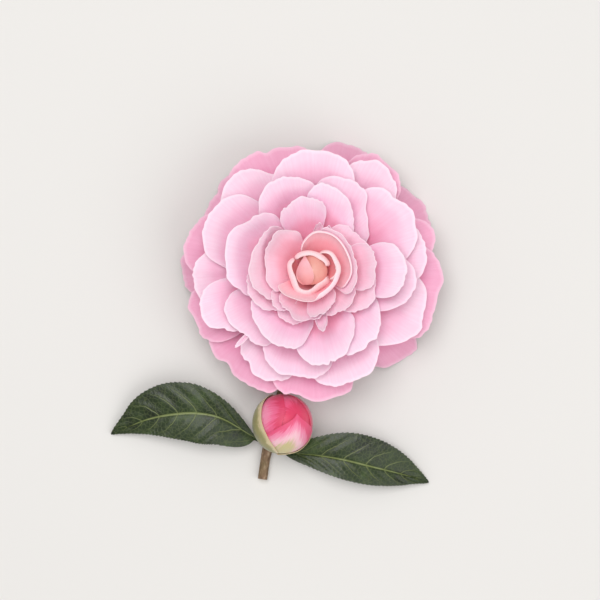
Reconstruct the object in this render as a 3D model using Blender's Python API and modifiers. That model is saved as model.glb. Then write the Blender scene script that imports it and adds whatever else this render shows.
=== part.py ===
"""A formal double camellia flower on a short cut twig, with one closed bud and two leaves.

The flower faces up. Its petals ride on a family of nested shells of revolution: the lowest shell
carries the reflexed guard petals, the highest one the petals that close over the heart.
Lengths below are in millimetres and become metres when a mesh is made. +Y is the back of the flower.
"""

import math

import bpy
from mathutils import Matrix, Vector

MM = 0.001

PETAL_THICK = 0.34
SEPAL_THICK = 0.45
LEAF_THICK = 0.50
SEAT_GAP = 0.32

# The shells, from the lowest (0) to the highest (1): the elevation at the foot and at the rim, how far
# the rim rolls back, and the nominal reach.
SHELL_AT = (0.0, 0.1, 0.2, 0.3, 0.4, 0.5, 0.6, 0.7, 0.8, 0.9, 1.0)
SHELL_FOOT_DEG = (14, 13, 12, 11, 10, 11, 14, 19, 28, 40, 54)
SHELL_RIM_DEG = (-22, -4, 12, 26, 40, 53, 66, 76, 86, 94, 102)
SHELL_ROLL_DEG = (14, 18, 20, 20, 20, 18, 12, 6, 0, 0, 0)
SHELL_REACH = (46, 43, 40, 35.5, 30.5, 25.5, 20.5, 17, 13, 9, 5)
FOOT_RADIUS = (6.0, 1.6)
FOOT_HEIGHT = (13.0, 27.4)
ARC_STEP = 0.1
RISE_SPREAD = 1.15
ROLL_FROM = 0.70
PETAL_CUP = 1.1

# The side of the flower over the bud is pushed up by it.
LIFT_HEIGHT = 6.4
LIFT_AZIMUTH = 259.0
LIFT_HALF_WIDTH = 64.0
LIFT_REACH = 46.0

LEVEL_MARGIN = 3.0
CLAW_WIDTH = 0.70

# name, azimuth, half angle, reach, left cap, right cap, cap power, slant, droop of the rim. The droop
# brings the lowest guard petals down to the floor, so that the flower rests on them and on its twig.
PETALS = (
    ("guard_petal_02", 78, 19, 47.2, 0.34, 0.30, 2.4, 0.0, 9.2),
    ("guard_petal_04", 28, 22, 46.2, 0.30, 0.30, 2.6, 0.0, 10.2),
    ("guard_petal_06", 315, 20, 46.8, 0.32, 0.34, 2.4, 0.0, 9.7),
    ("guard_petal_08", 229, 25, 45.8, 0.28, 0.30, 2.8, 0.0, 0.0),
    ("guard_petal_10", 183, 17, 46.2, 0.30, 0.30, 2.4, 0.0, 6.0),
    ("guard_petal_12", 140, 22, 45.4, 0.30, 0.30, 2.4, 0.0, 10.7),
    ("guard_petal_01", 108, 25, 45.4, 0.30, 0.30, 2.6, 0.01, 0.0),
    ("guard_petal_03", 56, 18, 46.4, 0.30, 0.30, 2.6, 0.0, 0.0),
    ("guard_petal_05", 352, 26, 46.6, 0.30, 0.26, 2.8, 0.0, 0.0),
    ("guard_petal_07", 271, 25, 46.4, 0.28, 0.32, 2.8, 0.0, 0.0),
    ("guard_petal_09", 201, 17, 45.2, 0.30, 0.30, 2.4, 0.0, 0.0),
    ("guard_petal_11", 167, 20, 46.2, 0.30, 0.30, 2.4, 0.0, 0.0),
    ("outer_petal_03", 337, 27, 42.4, 0.30, 0.30, 2.6, 0.03, 0.0),
    ("outer_petal_05", 243, 21, 42.8, 0.34, 0.34, 2.4, 0.0, 0.0),
    ("outer_petal_01", 125, 24, 42.6, 0.30, 0.34, 2.6, 0.0, 0.0),
    ("outer_petal_08", 56, 19, 44.4, 0.34, 0.34, 2.4, 0.0, 0.0),
    ("outer_petal_07", 183, 18, 42.0, 0.30, 0.34, 2.4, 0.0, 0.0),
    ("outer_petal_02", 11, 21, 40.8, 0.30, 0.34, 2.6, 0.0, 0.0),
    ("outer_petal_04", 289, 24, 42.2, 0.34, 0.28, 2.6, 0.0, 0.0),
    ("outer_petal_06", 205, 18, 41.8, 0.40, 0.30, 2.4, 0.0, 0.0),
    ("outer_petal_09", 88, 27, 43.2, 0.34, 0.30, 2.6, 0.0, 0.0),
    ("broad_petal_01", 29, 26, 41.0, 0.34, 0.36, 2.4, 0.0, 0.0),
    ("broad_petal_05", 152, 25, 41.8, 0.36, 0.36, 2.3, 0.0, 0.0),
    ("broad_petal_03", 261, 24, 38.2, 0.30, 0.30, 2.6, 0.0, 0.0),
    ("broad_petal_06", 62, 22, 34.2, 0.30, 0.40, 2.6, 0.0, 0.0),
    ("broad_petal_02", 353, 26, 37.4, 0.34, 0.38, 2.4, 0.0, 0.0),
    ("broad_petal_04", 216, 24, 35.8, 0.26, 0.28, 2.6, 0.0, 0.0),
    ("broad_petal_07", 108, 25, 34.2, 0.30, 0.34, 2.6, 0.0, 0.0),
    ("middle_petal_01", 314, 22, 32.8, 0.34, 0.30, 2.6, 0.0, 0.0),
    ("middle_petal_05", 69, 26, 30.4, 0.30, 0.42, 2.6, 0.0, 0.0),
    ("middle_petal_06", 1, 23, 28.2, 0.30, 0.30, 2.5, 0.0, 0.0),
    ("middle_petal_02", 283, 24, 33.8, 0.30, 0.32, 2.6, 0.0, 0.0),
    ("middle_petal_03", 160, 40, 30.8, 0.36, 0.30, 2.6, 0.0, 0.0),
    ("middle_petal_04", 238, 30, 28.9, 0.26, 0.40, 2.6, 0.0, 0.0),
    ("middle_petal_07", 100, 24, 24.8, 0.26, 0.24, 2.8, 0.0, 0.0),
    ("inner_petal_01", 337, 30, 22.9, 0.30, 0.28, 2.6, 0.0, 0.0),
    ("inner_petal_03", 40, 26, 20.3, 0.30, 0.30, 2.6, 0.0, 0.0),
    ("inner_petal_04", 202, 28, 22.5, 0.30, 0.30, 2.6, 0.0, 0.0),
    ("inner_petal_02", 8, 27, 20.6, 0.30, 0.30, 2.6, 0.0, 0.0),
    ("inner_petal_05", 172, 44, 21.8, 0.30, 0.34, 2.8, 0.0, 0.0),
    ("cup_petal_01", 308, 31, 17.8, 0.30, 0.30, 2.6, 0.0, 0.0),
    ("cup_petal_03", 158, 50, 17.1, 0.30, 0.24, 2.8, 0.0, 0.0),
    ("cup_petal_02", 262, 46, 17.2, 0.40, 0.26, 2.8, 0.0, 0.0),
    ("hood_petal_01", 49, 70, 13.6, 0.22, 0.20, 4.0, 0.0, 0.0),
    ("hood_petal_02", 282, 74, 12.2, 0.16, 0.28, 4.0, -0.14, 0.0),
    ("curl_petal_01", 20, 44, 10.0, 0.24, 0.24, 3.0, 0.0, 0.0),
    ("curl_petal_02", 232, 82, 8.7, 0.16, 0.16, 4.0, 0.0, 0.0),
    ("curl_petal_03", 82, 64, 7.2, 0.20, 0.20, 4.0, 0.0, 0.0),
    ("heart_petal_01", 150, 84, 4.3, 0.20, 0.20, 2.0, 0.0, 0.0),
)

HEART_RADIUS = 2.7
HEART_HEIGHT = 6.6

# The three sepals under the flower.
CALYX_FOOT = (5.35, 10.7)
CALYX_REACH = 14.0
CALYX_RISE_DEG = (22, 12)
CALYX_AZIMUTHS = (30, 150, 270)
CALYX_HALF = 55

# The twig, from its cut end to the flower, and the receptacle that it swells into: x, y, z, radius.
TWIG_PATH = (
    (-17.6, -74.0, 1.75, 1.75),
    (-16.6, -67.0, 1.72, 1.72),
    (-15.2, -60.5, 2.05, 2.05),
    (-13.6, -54.0, 1.62, 1.60),
    (-10.6, -42.0, 1.62, 1.56),
    (-7.2, -28.0, 1.62, 1.54),
    (-3.8, -14.0, 1.80, 1.56),
    (-1.4, -5.2, 2.60, 1.60),
    (-0.2, -1.3, 4.60, 1.75),
    (0.0, 0.0, 7.40, 2.20),
    (0.0, 0.0, 9.20, 3.60),
)

# The bud: a nearly round ball on a short stalk, leaning up and to the right.
BUD_CENTRE = (-10.1, -53.5, 13.9)
BUD_AXIS = (0.42, 0.40, 0.815)
BUD_RADIUS = 10.4
BUD_TIP = 11.1
BUD_STALK = (1.25, 11.5)
BUD_SEPALS = (("bud_sepal_01", 45.0, 80.0, 110.0), ("bud_sepal_02", 190.0, 60.0, 92.0))

# Leaves: the midrib as x, y, z, then the half widths on its two sides and where each side is widest.
# An exponent under 1 puts the widest place nearer the stalk.
LEAVES = (
    (
        "leaf_left",
        ((-17.8, -60.2, 2.6), (-20.6, -58.8, 4.6), (-31.5, -52.2, 7.6), (-40.5, -50.3, 7.9),
         (-49.2, -50.8, 6.9), (-57.6, -52.5, 5.0), (-64.8, -55.2, 2.6), (-71.6, -58.0, 0.9)),
        (10.6, 11.4),
        (0.56, 1.0),
    ),
    (
        "leaf_right",
        ((-12.8, -61.6, 2.6), (-9.6, -64.2, 4.0), (1.0, -65.2, 6.2), (11.0, -66.8, 7.2),
         (20.5, -69.2, 6.3), (29.0, -71.4, 4.4), (36.0, -73.4, 2.3), (41.6, -75.2, 0.9)),
        (10.4, 6.8),
        (0.86, 0.80),
    ),
)
LEAF_PETIOLE = 0.95
LEAF_FOLD = 0.16


def material(name, colour, roughness):
    """A plain finish: colour as linear red, green and blue."""
    made = bpy.data.materials.new(name)
    made.use_nodes = True
    shader = made.node_tree.nodes["Principled BSDF"]
    shader.inputs["Base Color"].default_value = (*colour, 1.0)
    shader.inputs["Roughness"].default_value = roughness
    shader.inputs["Metallic"].default_value = 0.0
    return made


def finishes():
    """Every finish of the object, by the slot it fills."""
    return {
        "petal": material("petal", (0.88, 0.52, 0.66), 0.55),
        "heart_petal": material("heart_petal", (0.87, 0.50, 0.46), 0.55),
        "sepal": material("sepal", (0.30, 0.34, 0.10), 0.60),
        "leaf": material("leaf", (0.035, 0.075, 0.022), 0.35),
        "bark": material("bark", (0.16, 0.085, 0.045), 0.75),
        "bud_petal": material("bud_petal", (0.74, 0.11, 0.19), 0.50),
    }


def between(values, share):
    """The value of an evenly named table at a share of the way from the lowest shell to the highest."""
    for i in range(1, len(SHELL_AT)):
        if share <= SHELL_AT[i]:
            part = (share - SHELL_AT[i - 1]) / (SHELL_AT[i] - SHELL_AT[i - 1])
            return values[i - 1] + (values[i] - values[i - 1]) * part
    return values[-1]


def smooth(x):
    x = min(max(x, 0.0), 1.0)
    return x * x * (3.0 - 2.0 * x)


def shell_curve(share):
    """The section of one shell: (radius, height) at every step of arc length, from the foot outwards."""
    foot, rim = between(SHELL_FOOT_DEG, share), between(SHELL_RIM_DEG, share)
    roll = between(SHELL_ROLL_DEG, share)
    radius = FOOT_RADIUS[0] + (FOOT_RADIUS[1] - FOOT_RADIUS[0]) * share
    height = FOOT_HEIGHT[0] + (FOOT_HEIGHT[1] - FOOT_HEIGHT[0]) * share
    middle = math.cos(math.radians((foot + rim) / 2.0))
    span = (between(SHELL_REACH, share) - radius) / max(0.35, middle)
    points = [(radius, height)]
    for step in range(int(1.25 * span / ARC_STEP)):
        part = (step + 0.5) * ARC_STEP / span
        turned = (rim - foot) * smooth(part / RISE_SPREAD) - roll * smooth((part - ROLL_FROM) / 0.45)
        angle = math.radians(foot + turned)
        radius += math.cos(angle) * ARC_STEP
        height += math.sin(angle) * ARC_STEP
        points.append((radius, height))
    return points


def steps_to(points, reach):
    """How many steps along the section the given radius is, as a fraction."""
    for i in range(1, len(points)):
        if points[i][0] >= reach:
            return i - (points[i][0] - reach) / (points[i][0] - points[i - 1][0])
    return len(points) - 1.0


def along(points, step):
    low = min(int(step), len(points) - 2)
    part = step - low
    return tuple(a + (b - a) * part for a, b in zip(points[low], points[low + 1]))


def lift(azimuth_deg, radius):
    """How far the bud below pushes the petals up at this place."""
    off = abs((azimuth_deg - LIFT_AZIMUTH + 180.0) % 360.0 - 180.0) / LIFT_HALF_WIDTH
    if off >= 1.0:
        return 0.0
    return LIFT_HEIGHT * math.cos(off * math.pi / 2.0) ** 2 * (radius / LIFT_REACH) ** 2


def petal_levels():
    """The level of each petal: one above the highest petal that it laps over."""
    placed = []
    for name, azimuth, half, *_ in PETALS:
        level = 0
        for _, other, other_half, other_level in placed:
            apart = abs((azimuth - other + 180.0) % 360.0 - 180.0)
            if apart < half + other_half + LEVEL_MARGIN:
                level = max(level, other_level + 1)
        placed.append((name, azimuth, half, level))
    return {name: level for name, _, _, level in placed}


def rim_reach(u, reach, left, right, power, slant):
    """The reach of a petal's rim at u, from -1 on its right side to 1 on its left side."""
    cap = left if u > 0 else right
    return reach * (1 + slant * u) * (1 - cap * (1 - math.sqrt(max(0.0, 1 - abs(u) ** power))))


def sheet(name, columns, rows, place, thickness, finish, parent):
    """A thin closed sheet: a grid whose every vertex place(v, s) puts in millimetres, made thick."""
    bpy.ops.mesh.primitive_grid_add(x_subdivisions=columns, y_subdivisions=rows, size=2.0)
    obj = bpy.context.active_object
    obj.name = obj.data.name = name
    for vertex in obj.data.vertices:
        v, s = vertex.co.x, (vertex.co.y + 1.0) / 2.0
        vertex.co = Vector(place(v, s)) * MM
    thick = obj.modifiers.new("thickness", "SOLIDIFY")
    thick.thickness = thickness * MM
    thick.offset = 0.0
    thick.use_even_offset = True
    obj.data.materials.append(finish)
    obj.parent = parent
    return obj


def petal(row, share, finish, parent):
    """One petal: a sector of its shell, narrow at the claw and rounded at the rim."""
    name, azimuth, half, reach, left, right, power, slant, droop = row
    points = shell_curve(share)
    columns = max(6, 2 * math.ceil(half / 9.0))
    rows = 4 if reach > 20 else 5

    def place(v, s):
        u = math.sin(v * math.pi / 2.0)
        step = steps_to(points, rim_reach(u, reach, left, right, power, slant)) * s
        radius, height = along(points, step)
        wide = CLAW_WIDTH + (1.0 - CLAW_WIDTH) * smooth(s / 0.55)
        turn = azimuth + half * wide * u
        height += lift(turn, radius) - droop * s ** 3 + PETAL_CUP * u * u * s ** 3
        angle = math.radians(turn)
        return radius * math.cos(angle), radius * math.sin(angle), height

    return sheet(name, columns, rows, place, PETAL_THICK, finish, parent)


def calyx_sepal(number, azimuth, finish, parent):
    """A short rounded scale lying under the guard petals."""
    foot, far = CALYX_FOOT, CALYX_REACH

    def place(v, s):
        u = math.sin(v * math.pi / 2.0)
        reach = far * (1 - 0.42 * (1 - math.sqrt(max(0.0, 1 - abs(u) ** 2.2))))
        radius = foot[0] + (reach - foot[0]) * s
        part = (radius - foot[0]) / (far - foot[0])
        slope = CALYX_RISE_DEG[0] + (CALYX_RISE_DEG[1] - CALYX_RISE_DEG[0]) * part / 2.0
        height = foot[1] + (radius - foot[0]) * math.tan(math.radians(slope))
        turn = azimuth + CALYX_HALF * u
        height += lift(turn, radius)
        angle = math.radians(turn)
        return radius * math.cos(angle), radius * math.sin(angle), height

    return sheet(f"calyx_sepal_{number:02d}", 8, 3, place, SEPAL_THICK, finish, parent)


def twig(finish, parent):
    """The cut twig and the cone-shaped receptacle at its end, swept as one round body."""
    path = list(TWIG_PATH)
    for share in (0.0, 0.33, 0.66, 1.0):
        radius = FOOT_RADIUS[0] + (FOOT_RADIUS[1] - FOOT_RADIUS[0]) * share - SEAT_GAP
        height = FOOT_HEIGHT[0] + (FOOT_HEIGHT[1] - FOOT_HEIGHT[0]) * share
        path.append((0.0, 0.0, height, radius))
    path.insert(len(TWIG_PATH), (0.0, 0.0, CALYX_FOOT[1], CALYX_FOOT[0] - SEAT_GAP - 0.1))
    curve = bpy.data.curves.new("twig", "CURVE")
    curve.dimensions = "3D"
    curve.bevel_depth = MM
    curve.bevel_resolution = 4
    curve.use_fill_caps = True
    spline = curve.splines.new("POLY")
    spline.points.add(len(path) - 1)
    for point, (x, y, z, radius) in zip(spline.points, path):
        point.co = (x * MM, y * MM, z * MM, 1.0)
        point.radius = radius
    obj = bpy.data.objects.new("twig", curve)
    bpy.context.collection.objects.link(obj)
    curve.materials.append(finish)
    obj.parent = parent
    return obj


def lathe(name, profile, segments, finish, parent):
    """A solid turned about Z from (radius, height) points whose ends are on the axis."""
    mesh = bpy.data.meshes.new(name)
    vertices = [(radius * MM, 0.0, height * MM) for radius, height in profile]
    mesh.from_pydata(vertices, [(i, i + 1) for i in range(len(vertices) - 1)], [])
    obj = bpy.data.objects.new(name, mesh)
    bpy.context.collection.objects.link(obj)
    turned = obj.modifiers.new("turned", "SCREW")
    turned.steps = turned.render_steps = segments
    turned.use_merge_vertices = True
    turned.merge_threshold = 0.00001
    turned.use_normal_calculate = True
    mesh.materials.append(finish)
    obj.parent = parent
    return obj


def heart(finish, parent):
    """The closed tear-shaped bud at the middle of the flower."""
    foot = FOOT_HEIGHT[1] + 0.45
    shape = ((0.0, 0.0), (0.35, 0.0), (0.78, 0.16), (1.0, 0.40), (0.88, 0.64), (0.52, 0.85), (0.0, 1.0))
    profile = [(r * HEART_RADIUS, foot + h * HEART_HEIGHT) for r, h in shape]
    return lathe("heart_bud", profile, 14, finish, parent)


def bud_frame():
    """Turns the bud's own frame, with its tip along +Z, to where it sits."""
    axis = Vector(BUD_AXIS).normalized()
    turn = axis.to_track_quat("Z", "Y").to_matrix().to_4x4()
    return Matrix.Translation(Vector(BUD_CENTRE) * MM) @ turn


def bud(finish, parent):
    """The round bud and its stalk."""
    profile = [(0.0, -BUD_STALK[1]), (BUD_STALK[0], -BUD_STALK[1]), (BUD_STALK[0], -BUD_RADIUS - 0.1)]
    for i in range(1, 12):
        angle = math.radians(-90.0 + 180.0 * i / 12.0)
        height = math.sin(angle) * (BUD_RADIUS if angle < 0 else BUD_TIP)
        profile.append((math.cos(angle) * BUD_RADIUS, height))
    profile.append((0.0, BUD_TIP))
    obj = lathe("bud", profile, 20, finish, parent)
    obj.matrix_local = bud_frame()
    return obj


def bud_sepal(row, finish, parent):
    """A rounded scale that hugs the lower part of the bud."""
    name, azimuth, half, top = row
    frame = bud_frame()
    radius = BUD_RADIUS + 0.42 + SEPAL_THICK / 2.0

    def place(v, s):
        u = math.sin(v * math.pi / 2.0)
        polar = 24.0 + (top - 24.0) * s * (1 - 0.40 * (1 - math.sqrt(max(0.0, 1 - abs(u) ** 2.2))))
        turn = math.radians(azimuth + half * u)
        flat, down = radius * math.sin(math.radians(polar)), radius * math.cos(math.radians(polar))
        local = Vector((flat * math.cos(turn), flat * math.sin(turn), -down))
        return tuple(frame @ (local * MM) / MM)

    return sheet(name, 12, 8, place, SEPAL_THICK, finish, parent)


def leaf(row, finish, parent):
    """A leaf along its midrib: a narrow stalk, a pointed oval blade and a shallow upward fold."""
    name, midrib, (left, right), fullness = row
    stations = [Vector(point) for point in midrib]
    last = len(stations) - 1

    def station(s):
        low = min(int(s * last), last - 1)
        part = s * last - low
        before, after = stations[max(low - 1, 0)], stations[min(low + 2, last)]
        a, b = stations[low], stations[low + 1]
        slope_a, slope_b = (b - before) / 2.0, (after - a) / 2.0
        return a.lerp(b, smooth(part)) + (slope_a * (1 - part) - slope_b * part) * part * (1 - part)

    def place(v, s):
        centre = station(s)
        ahead = station(min(s + 0.01, 1.0)) - station(max(s - 0.01, 0.0))
        side = Vector((-ahead.y, ahead.x, 0.0)).normalized()
        blade = max(0.0, (s - 0.13) / 0.87)
        shape = max(0.0, math.sin(math.pi * min(blade, 1.0) ** fullness[0 if v > 0 else 1])) ** 1.1
        half = (left if v > 0 else right) * shape
        across = v * max(half, LEAF_PETIOLE if s < 0.5 else 0.45)
        rise = LEAF_FOLD * abs(across) - 0.012 * across * across
        return tuple(centre + side * across + Vector((0.0, 0.0, rise)))

    return sheet(name, 6, 14, place, LEAF_THICK, finish, parent)


def settle(parts, root):
    """Moves the whole object so that its box stands on the origin by the middle of its floor."""
    bpy.context.view_layer.update()
    graph = bpy.context.evaluated_depsgraph_get()
    corners = []
    for obj in parts:
        shown = obj.evaluated_get(graph)
        mesh = shown.to_mesh()
        corners += [shown.matrix_world @ vertex.co for vertex in mesh.vertices]
        shown.to_mesh_clear()
    low = [min(corner[i] for corner in corners) for i in range(3)]
    high = [max(corner[i] for corner in corners) for i in range(3)]
    root.location = (-(low[0] + high[0]) / 2.0, -(low[1] + high[1]) / 2.0, -low[2])


def main():
    for obj in list(bpy.data.objects):
        bpy.data.objects.remove(obj, do_unlink=True)
    group = bpy.data.collections.new("camellia_flower")
    bpy.context.scene.collection.children.link(group)
    layer = bpy.context.view_layer.layer_collection.children[group.name]
    bpy.context.view_layer.active_layer_collection = layer
    root = bpy.data.objects.new("camellia", None)
    group.objects.link(root)

    finish = finishes()
    levels = petal_levels()
    highest = max(levels.values())
    parts = []
    for row in PETALS:
        slot = "heart_petal" if row[0].startswith(("curl", "heart")) else "petal"
        parts.append(petal(row, levels[row[0]] / highest, finish[slot], root))
    parts.append(heart(finish["heart_petal"], root))
    for number, azimuth in enumerate(CALYX_AZIMUTHS, 1):
        parts.append(calyx_sepal(number, azimuth, finish["sepal"], root))
    parts.append(twig(finish["bark"], root))
    parts.append(bud(finish["bud_petal"], root))
    for row in BUD_SEPALS:
        parts.append(bud_sepal(row, finish["sepal"], root))
    for row in LEAVES:
        parts.append(leaf(row, finish["leaf"], root))
    settle(parts, root)


main()
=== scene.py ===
"""The looks of a camellia sprig: an open double flower, a closed bud, two leaves and a cut twig.

Every petal is drawn again as a fine sheet on the same nested shells that carry its solid, with
ruffles, notches and rolled rims. Lengths are in millimetres from the flower's own zero until a mesh
is placed, and angles are in degrees where nothing else is said.
"""

import logging
import math
from dataclasses import dataclass, field
from enum import Enum
from typing import Callable

import bpy
import numpy as np
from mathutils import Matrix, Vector


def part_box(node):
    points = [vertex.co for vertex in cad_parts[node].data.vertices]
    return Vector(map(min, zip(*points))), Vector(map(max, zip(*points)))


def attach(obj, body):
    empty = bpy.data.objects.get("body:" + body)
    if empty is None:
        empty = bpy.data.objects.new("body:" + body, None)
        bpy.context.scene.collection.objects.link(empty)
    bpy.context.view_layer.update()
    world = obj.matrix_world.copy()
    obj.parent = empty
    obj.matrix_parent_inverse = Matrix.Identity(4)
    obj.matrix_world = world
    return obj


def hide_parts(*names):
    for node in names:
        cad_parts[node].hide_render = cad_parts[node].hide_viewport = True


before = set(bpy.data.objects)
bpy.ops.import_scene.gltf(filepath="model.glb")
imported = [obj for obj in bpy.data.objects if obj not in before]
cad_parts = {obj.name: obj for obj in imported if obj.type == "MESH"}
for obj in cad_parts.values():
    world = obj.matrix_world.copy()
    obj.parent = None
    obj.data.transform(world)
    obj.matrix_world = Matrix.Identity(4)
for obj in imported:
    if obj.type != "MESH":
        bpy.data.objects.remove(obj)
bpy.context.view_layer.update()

MM = 0.001
SEED = 7
# How far the middle of the flower starts over its own zero.
HEART_SEAT = 27.85
# Vertices nearer than this are one, and edges that turn less than this are shaded smooth.
MERGE_WITHIN = 0.01
SMOOTH_UNDER = 50.0
# The pairs of side veins on a leaf, and how far and how sharply they sweep towards its tip.
SIDE_VEINS = 9.0
VEIN_SWEEP = 0.17
VEIN_CURVE = 1.35
log = logging.getLogger("camellia")

Place = Callable[[np.ndarray, np.ndarray], np.ndarray]
Counts = tuple[float, float, float]
Stops = tuple[tuple[float, str], ...]


class Slot(Enum):
    """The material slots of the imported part."""

    PETAL = "petal"
    HEART = "heart_petal"
    SEPAL = "sepal"
    LEAF = "leaf"
    BARK = "bark"
    BUD = "bud_petal"


class Kind(Enum):
    """The kinds of shader node that the finishes are made of, and how each is set up."""

    WHERE = ("ShaderNodeTexCoord", {})
    SPLIT = ("ShaderNodeSeparateXYZ", {})
    STRETCH = ("ShaderNodeVectorMath", {"operation": "MULTIPLY"})
    NOISE = ("ShaderNodeTexNoise", {})
    CELLS = ("ShaderNodeTexVoronoi", {})
    NET = ("ShaderNodeTexVoronoi", {"feature": "DISTANCE_TO_EDGE"})
    RANGE = ("ShaderNodeMapRange", {})
    RAMP = ("ShaderNodeValToRGB", {})
    MIX = ("ShaderNodeMix", {"data_type": "RGBA"})
    TINT = ("ShaderNodeMix", {"data_type": "RGBA", "blend_type": "MULTIPLY"})
    BUMP = ("ShaderNodeBump", {})
    TIMES = ("ShaderNodeMath", {"operation": "MULTIPLY"})
    TIMES_PLUS = ("ShaderNodeMath", {"operation": "MULTIPLY_ADD"})
    PLUS = ("ShaderNodeMath", {"operation": "ADD"})
    MINUS = ("ShaderNodeMath", {"operation": "SUBTRACT"})
    POWER = ("ShaderNodeMath", {"operation": "POWER"})
    UNSIGNED = ("ShaderNodeMath", {"operation": "ABSOLUTE"})
    LARGER = ("ShaderNodeMath", {"operation": "MAXIMUM"})
    THERE_AND_BACK = ("ShaderNodeMath", {"operation": "PINGPONG"})


def flower_zero() -> Vector:
    """The flower's own zero in the frame, in metres: on its axis, at the level that heights count from."""
    low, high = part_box("heart_bud")
    return Vector(((low.x + high.x) / 2.0, (low.y + high.y) / 2.0, low.z - HEART_SEAT * MM))


ORIGIN = flower_zero()


# --- curves --------------------------------------------------------------------------------------


def smooth(x: np.ndarray) -> np.ndarray:
    """Eases from 0 to 1 as x goes from 0 to 1."""
    x = np.clip(x, 0.0, 1.0)
    return x * x * (3.0 - 2.0 * x)


def bell(x: np.ndarray, middle: float, width: float) -> np.ndarray:
    """A smooth bump of height 1 round a middle."""
    return np.exp(-(((x - middle) / width) ** 2))


def rounded(u: np.ndarray, cap: np.ndarray | float, power: float) -> np.ndarray:
    """The outline of a rounded end: 1 at the middle and less by the cap at both sides, at u of -1 and 1."""
    return 1.0 - cap * (1.0 - np.sqrt(np.maximum(0.0, 1.0 - np.abs(u) ** power)))


def around(radius: np.ndarray, angle: np.ndarray, height: np.ndarray) -> np.ndarray:
    """Points round the Z axis, from their radius, their angle in radians and their height."""
    return np.stack((radius * np.cos(angle), radius * np.sin(angle), height), axis=1)


def through(x: np.ndarray, points: tuple[tuple[float, float], ...]) -> np.ndarray:
    """A smooth curve through a few points, level beyond the first and the last.

    Args:
        x: Where it is wanted.
        points: Two or more pairs of a place and a value, in order.

    Returns:
        The value at each x.
    """
    knots, values = np.array(points).T
    slopes = np.gradient(values, knots)
    x = np.clip(x, knots[0], knots[-1])
    low = np.clip(np.searchsorted(knots, x) - 1, 0, len(knots) - 2)
    span = knots[low + 1] - knots[low]
    t = (x - knots[low]) / span
    start = values[low] * (2.0 * t**3 - 3.0 * t**2 + 1.0) + slopes[low] * span * (t**3 - 2.0 * t**2 + t)
    return start + values[low + 1] * (3.0 * t**2 - 2.0 * t**3) + slopes[low + 1] * span * (t**3 - t**2)


# --- pieces --------------------------------------------------------------------------------------


@dataclass(frozen=True)
class Sheet:
    """A piece drawn as one fine sheet, then closed and dressed.

    cells are its faces across and along. place gives an array of points for arrays of v, from -1 to 1
    across, and s, from 0 at the foot to 1 at the rim. nodes are the solids that it stands for. wall is
    its thickness at the foot and rim_share how much of that is left at the rim. Without a wall the
    sheet is a tube, whose sides are joined and whose ends are capped.
    """

    name: str
    cells: tuple[int, int]
    place: Place
    finish: bpy.types.Material
    slot: Slot
    nodes: tuple[str, ...] = ()
    wall: float = 0.0
    rim_share: float = 1.0

    def lay(self) -> bpy.types.Object:
        """Adds a grid and moves every vertex of it to its place.

        Returns:
            The new object, at the origin with its place in its mesh.
        """
        columns, rows = self.cells
        bpy.ops.object.select_all(action="DESELECT")
        bpy.ops.mesh.primitive_grid_add(x_subdivisions=columns, y_subdivisions=rows, size=2.0)
        piece = bpy.context.active_object
        piece.name = piece.data.name = self.name
        flat = np.empty(len(piece.data.vertices) * 3)
        piece.data.vertices.foreach_get("co", flat)
        v, along, _ = flat.reshape(-1, 3).T
        points = self.place(v, (along + 1.0) / 2.0) * MM + np.array(ORIGIN)
        piece.data.vertices.foreach_set("co", points.reshape(-1))
        piece.data.update()
        return piece

    def thicken(self, piece: bpy.types.Object) -> None:
        """Makes the sheet a closed solid that thins towards its rim.

        Args:
            piece: The sheet, which is active.
        """
        solid = piece.modifiers.new("thickness", "SOLIDIFY")
        solid.thickness = self.wall * MM
        solid.offset = 0.0
        solid.use_even_offset = False
        if self.rim_share < 1.0:
            group = piece.vertex_groups.new(name="body")
            uvs = piece.data.uv_layers.active.data
            rows = {loop.vertex_index: uvs[loop.index].uv.y for loop in piece.data.loops}
            for index, along in rows.items():
                group.add([index], 1.0 - along, "REPLACE")
            solid.vertex_group = group.name
            solid.thickness_vertex_group = self.rim_share
        bpy.ops.object.modifier_apply(modifier=solid.name)
        piece.vertex_groups.clear()

    def cap(self) -> None:
        """Joins the active sheet's two sides, caps its ends and turns its faces outwards."""
        bpy.ops.object.mode_set(mode="EDIT")
        bpy.ops.mesh.select_all(action="SELECT")
        bpy.ops.mesh.remove_doubles(threshold=MERGE_WITHIN * MM)
        bpy.ops.mesh.fill_holes(sides=0)
        bpy.ops.mesh.normals_make_consistent(inside=False)
        bpy.ops.object.mode_set(mode="OBJECT")

    def build(self) -> bpy.types.Object:
        """Builds the piece, gives it its material and body, and hides the solids it stands for.

        Returns:
            The finished object.
        """
        piece = self.lay()
        if self.wall:
            self.thicken(piece)
        else:
            self.cap()
        piece.data.materials.append(self.finish)
        bpy.ops.object.shade_smooth_by_angle(angle=math.radians(SMOOTH_UNDER))
        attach(piece, "root")
        if self.nodes:
            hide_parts(*self.nodes)
        log.info("%s: %d faces", self.name, len(piece.data.polygons))
        return piece


# --- finishes ------------------------------------------------------------------------------------


def linear(colour: str) -> tuple[float, float, float, float]:
    """Turns an sRGB hex colour into linear red, green, blue and alpha.

    Args:
        colour: Six hex digits after a hash.

    Returns:
        The colour as Blender's shaders take it.
    """
    values = [int(colour[i : i + 2], 16) / 255.0 for i in (1, 3, 5)]
    made = [v / 12.92 if v <= 0.04045 else ((v + 0.055) / 1.055) ** 2.4 for v in values]
    return (*made, 1.0)


def per_metre(size: float) -> float:
    """The scale of a pattern on Object coordinates whose parts are this many millimetres wide."""
    return 1.0 / (size * MM)


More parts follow.
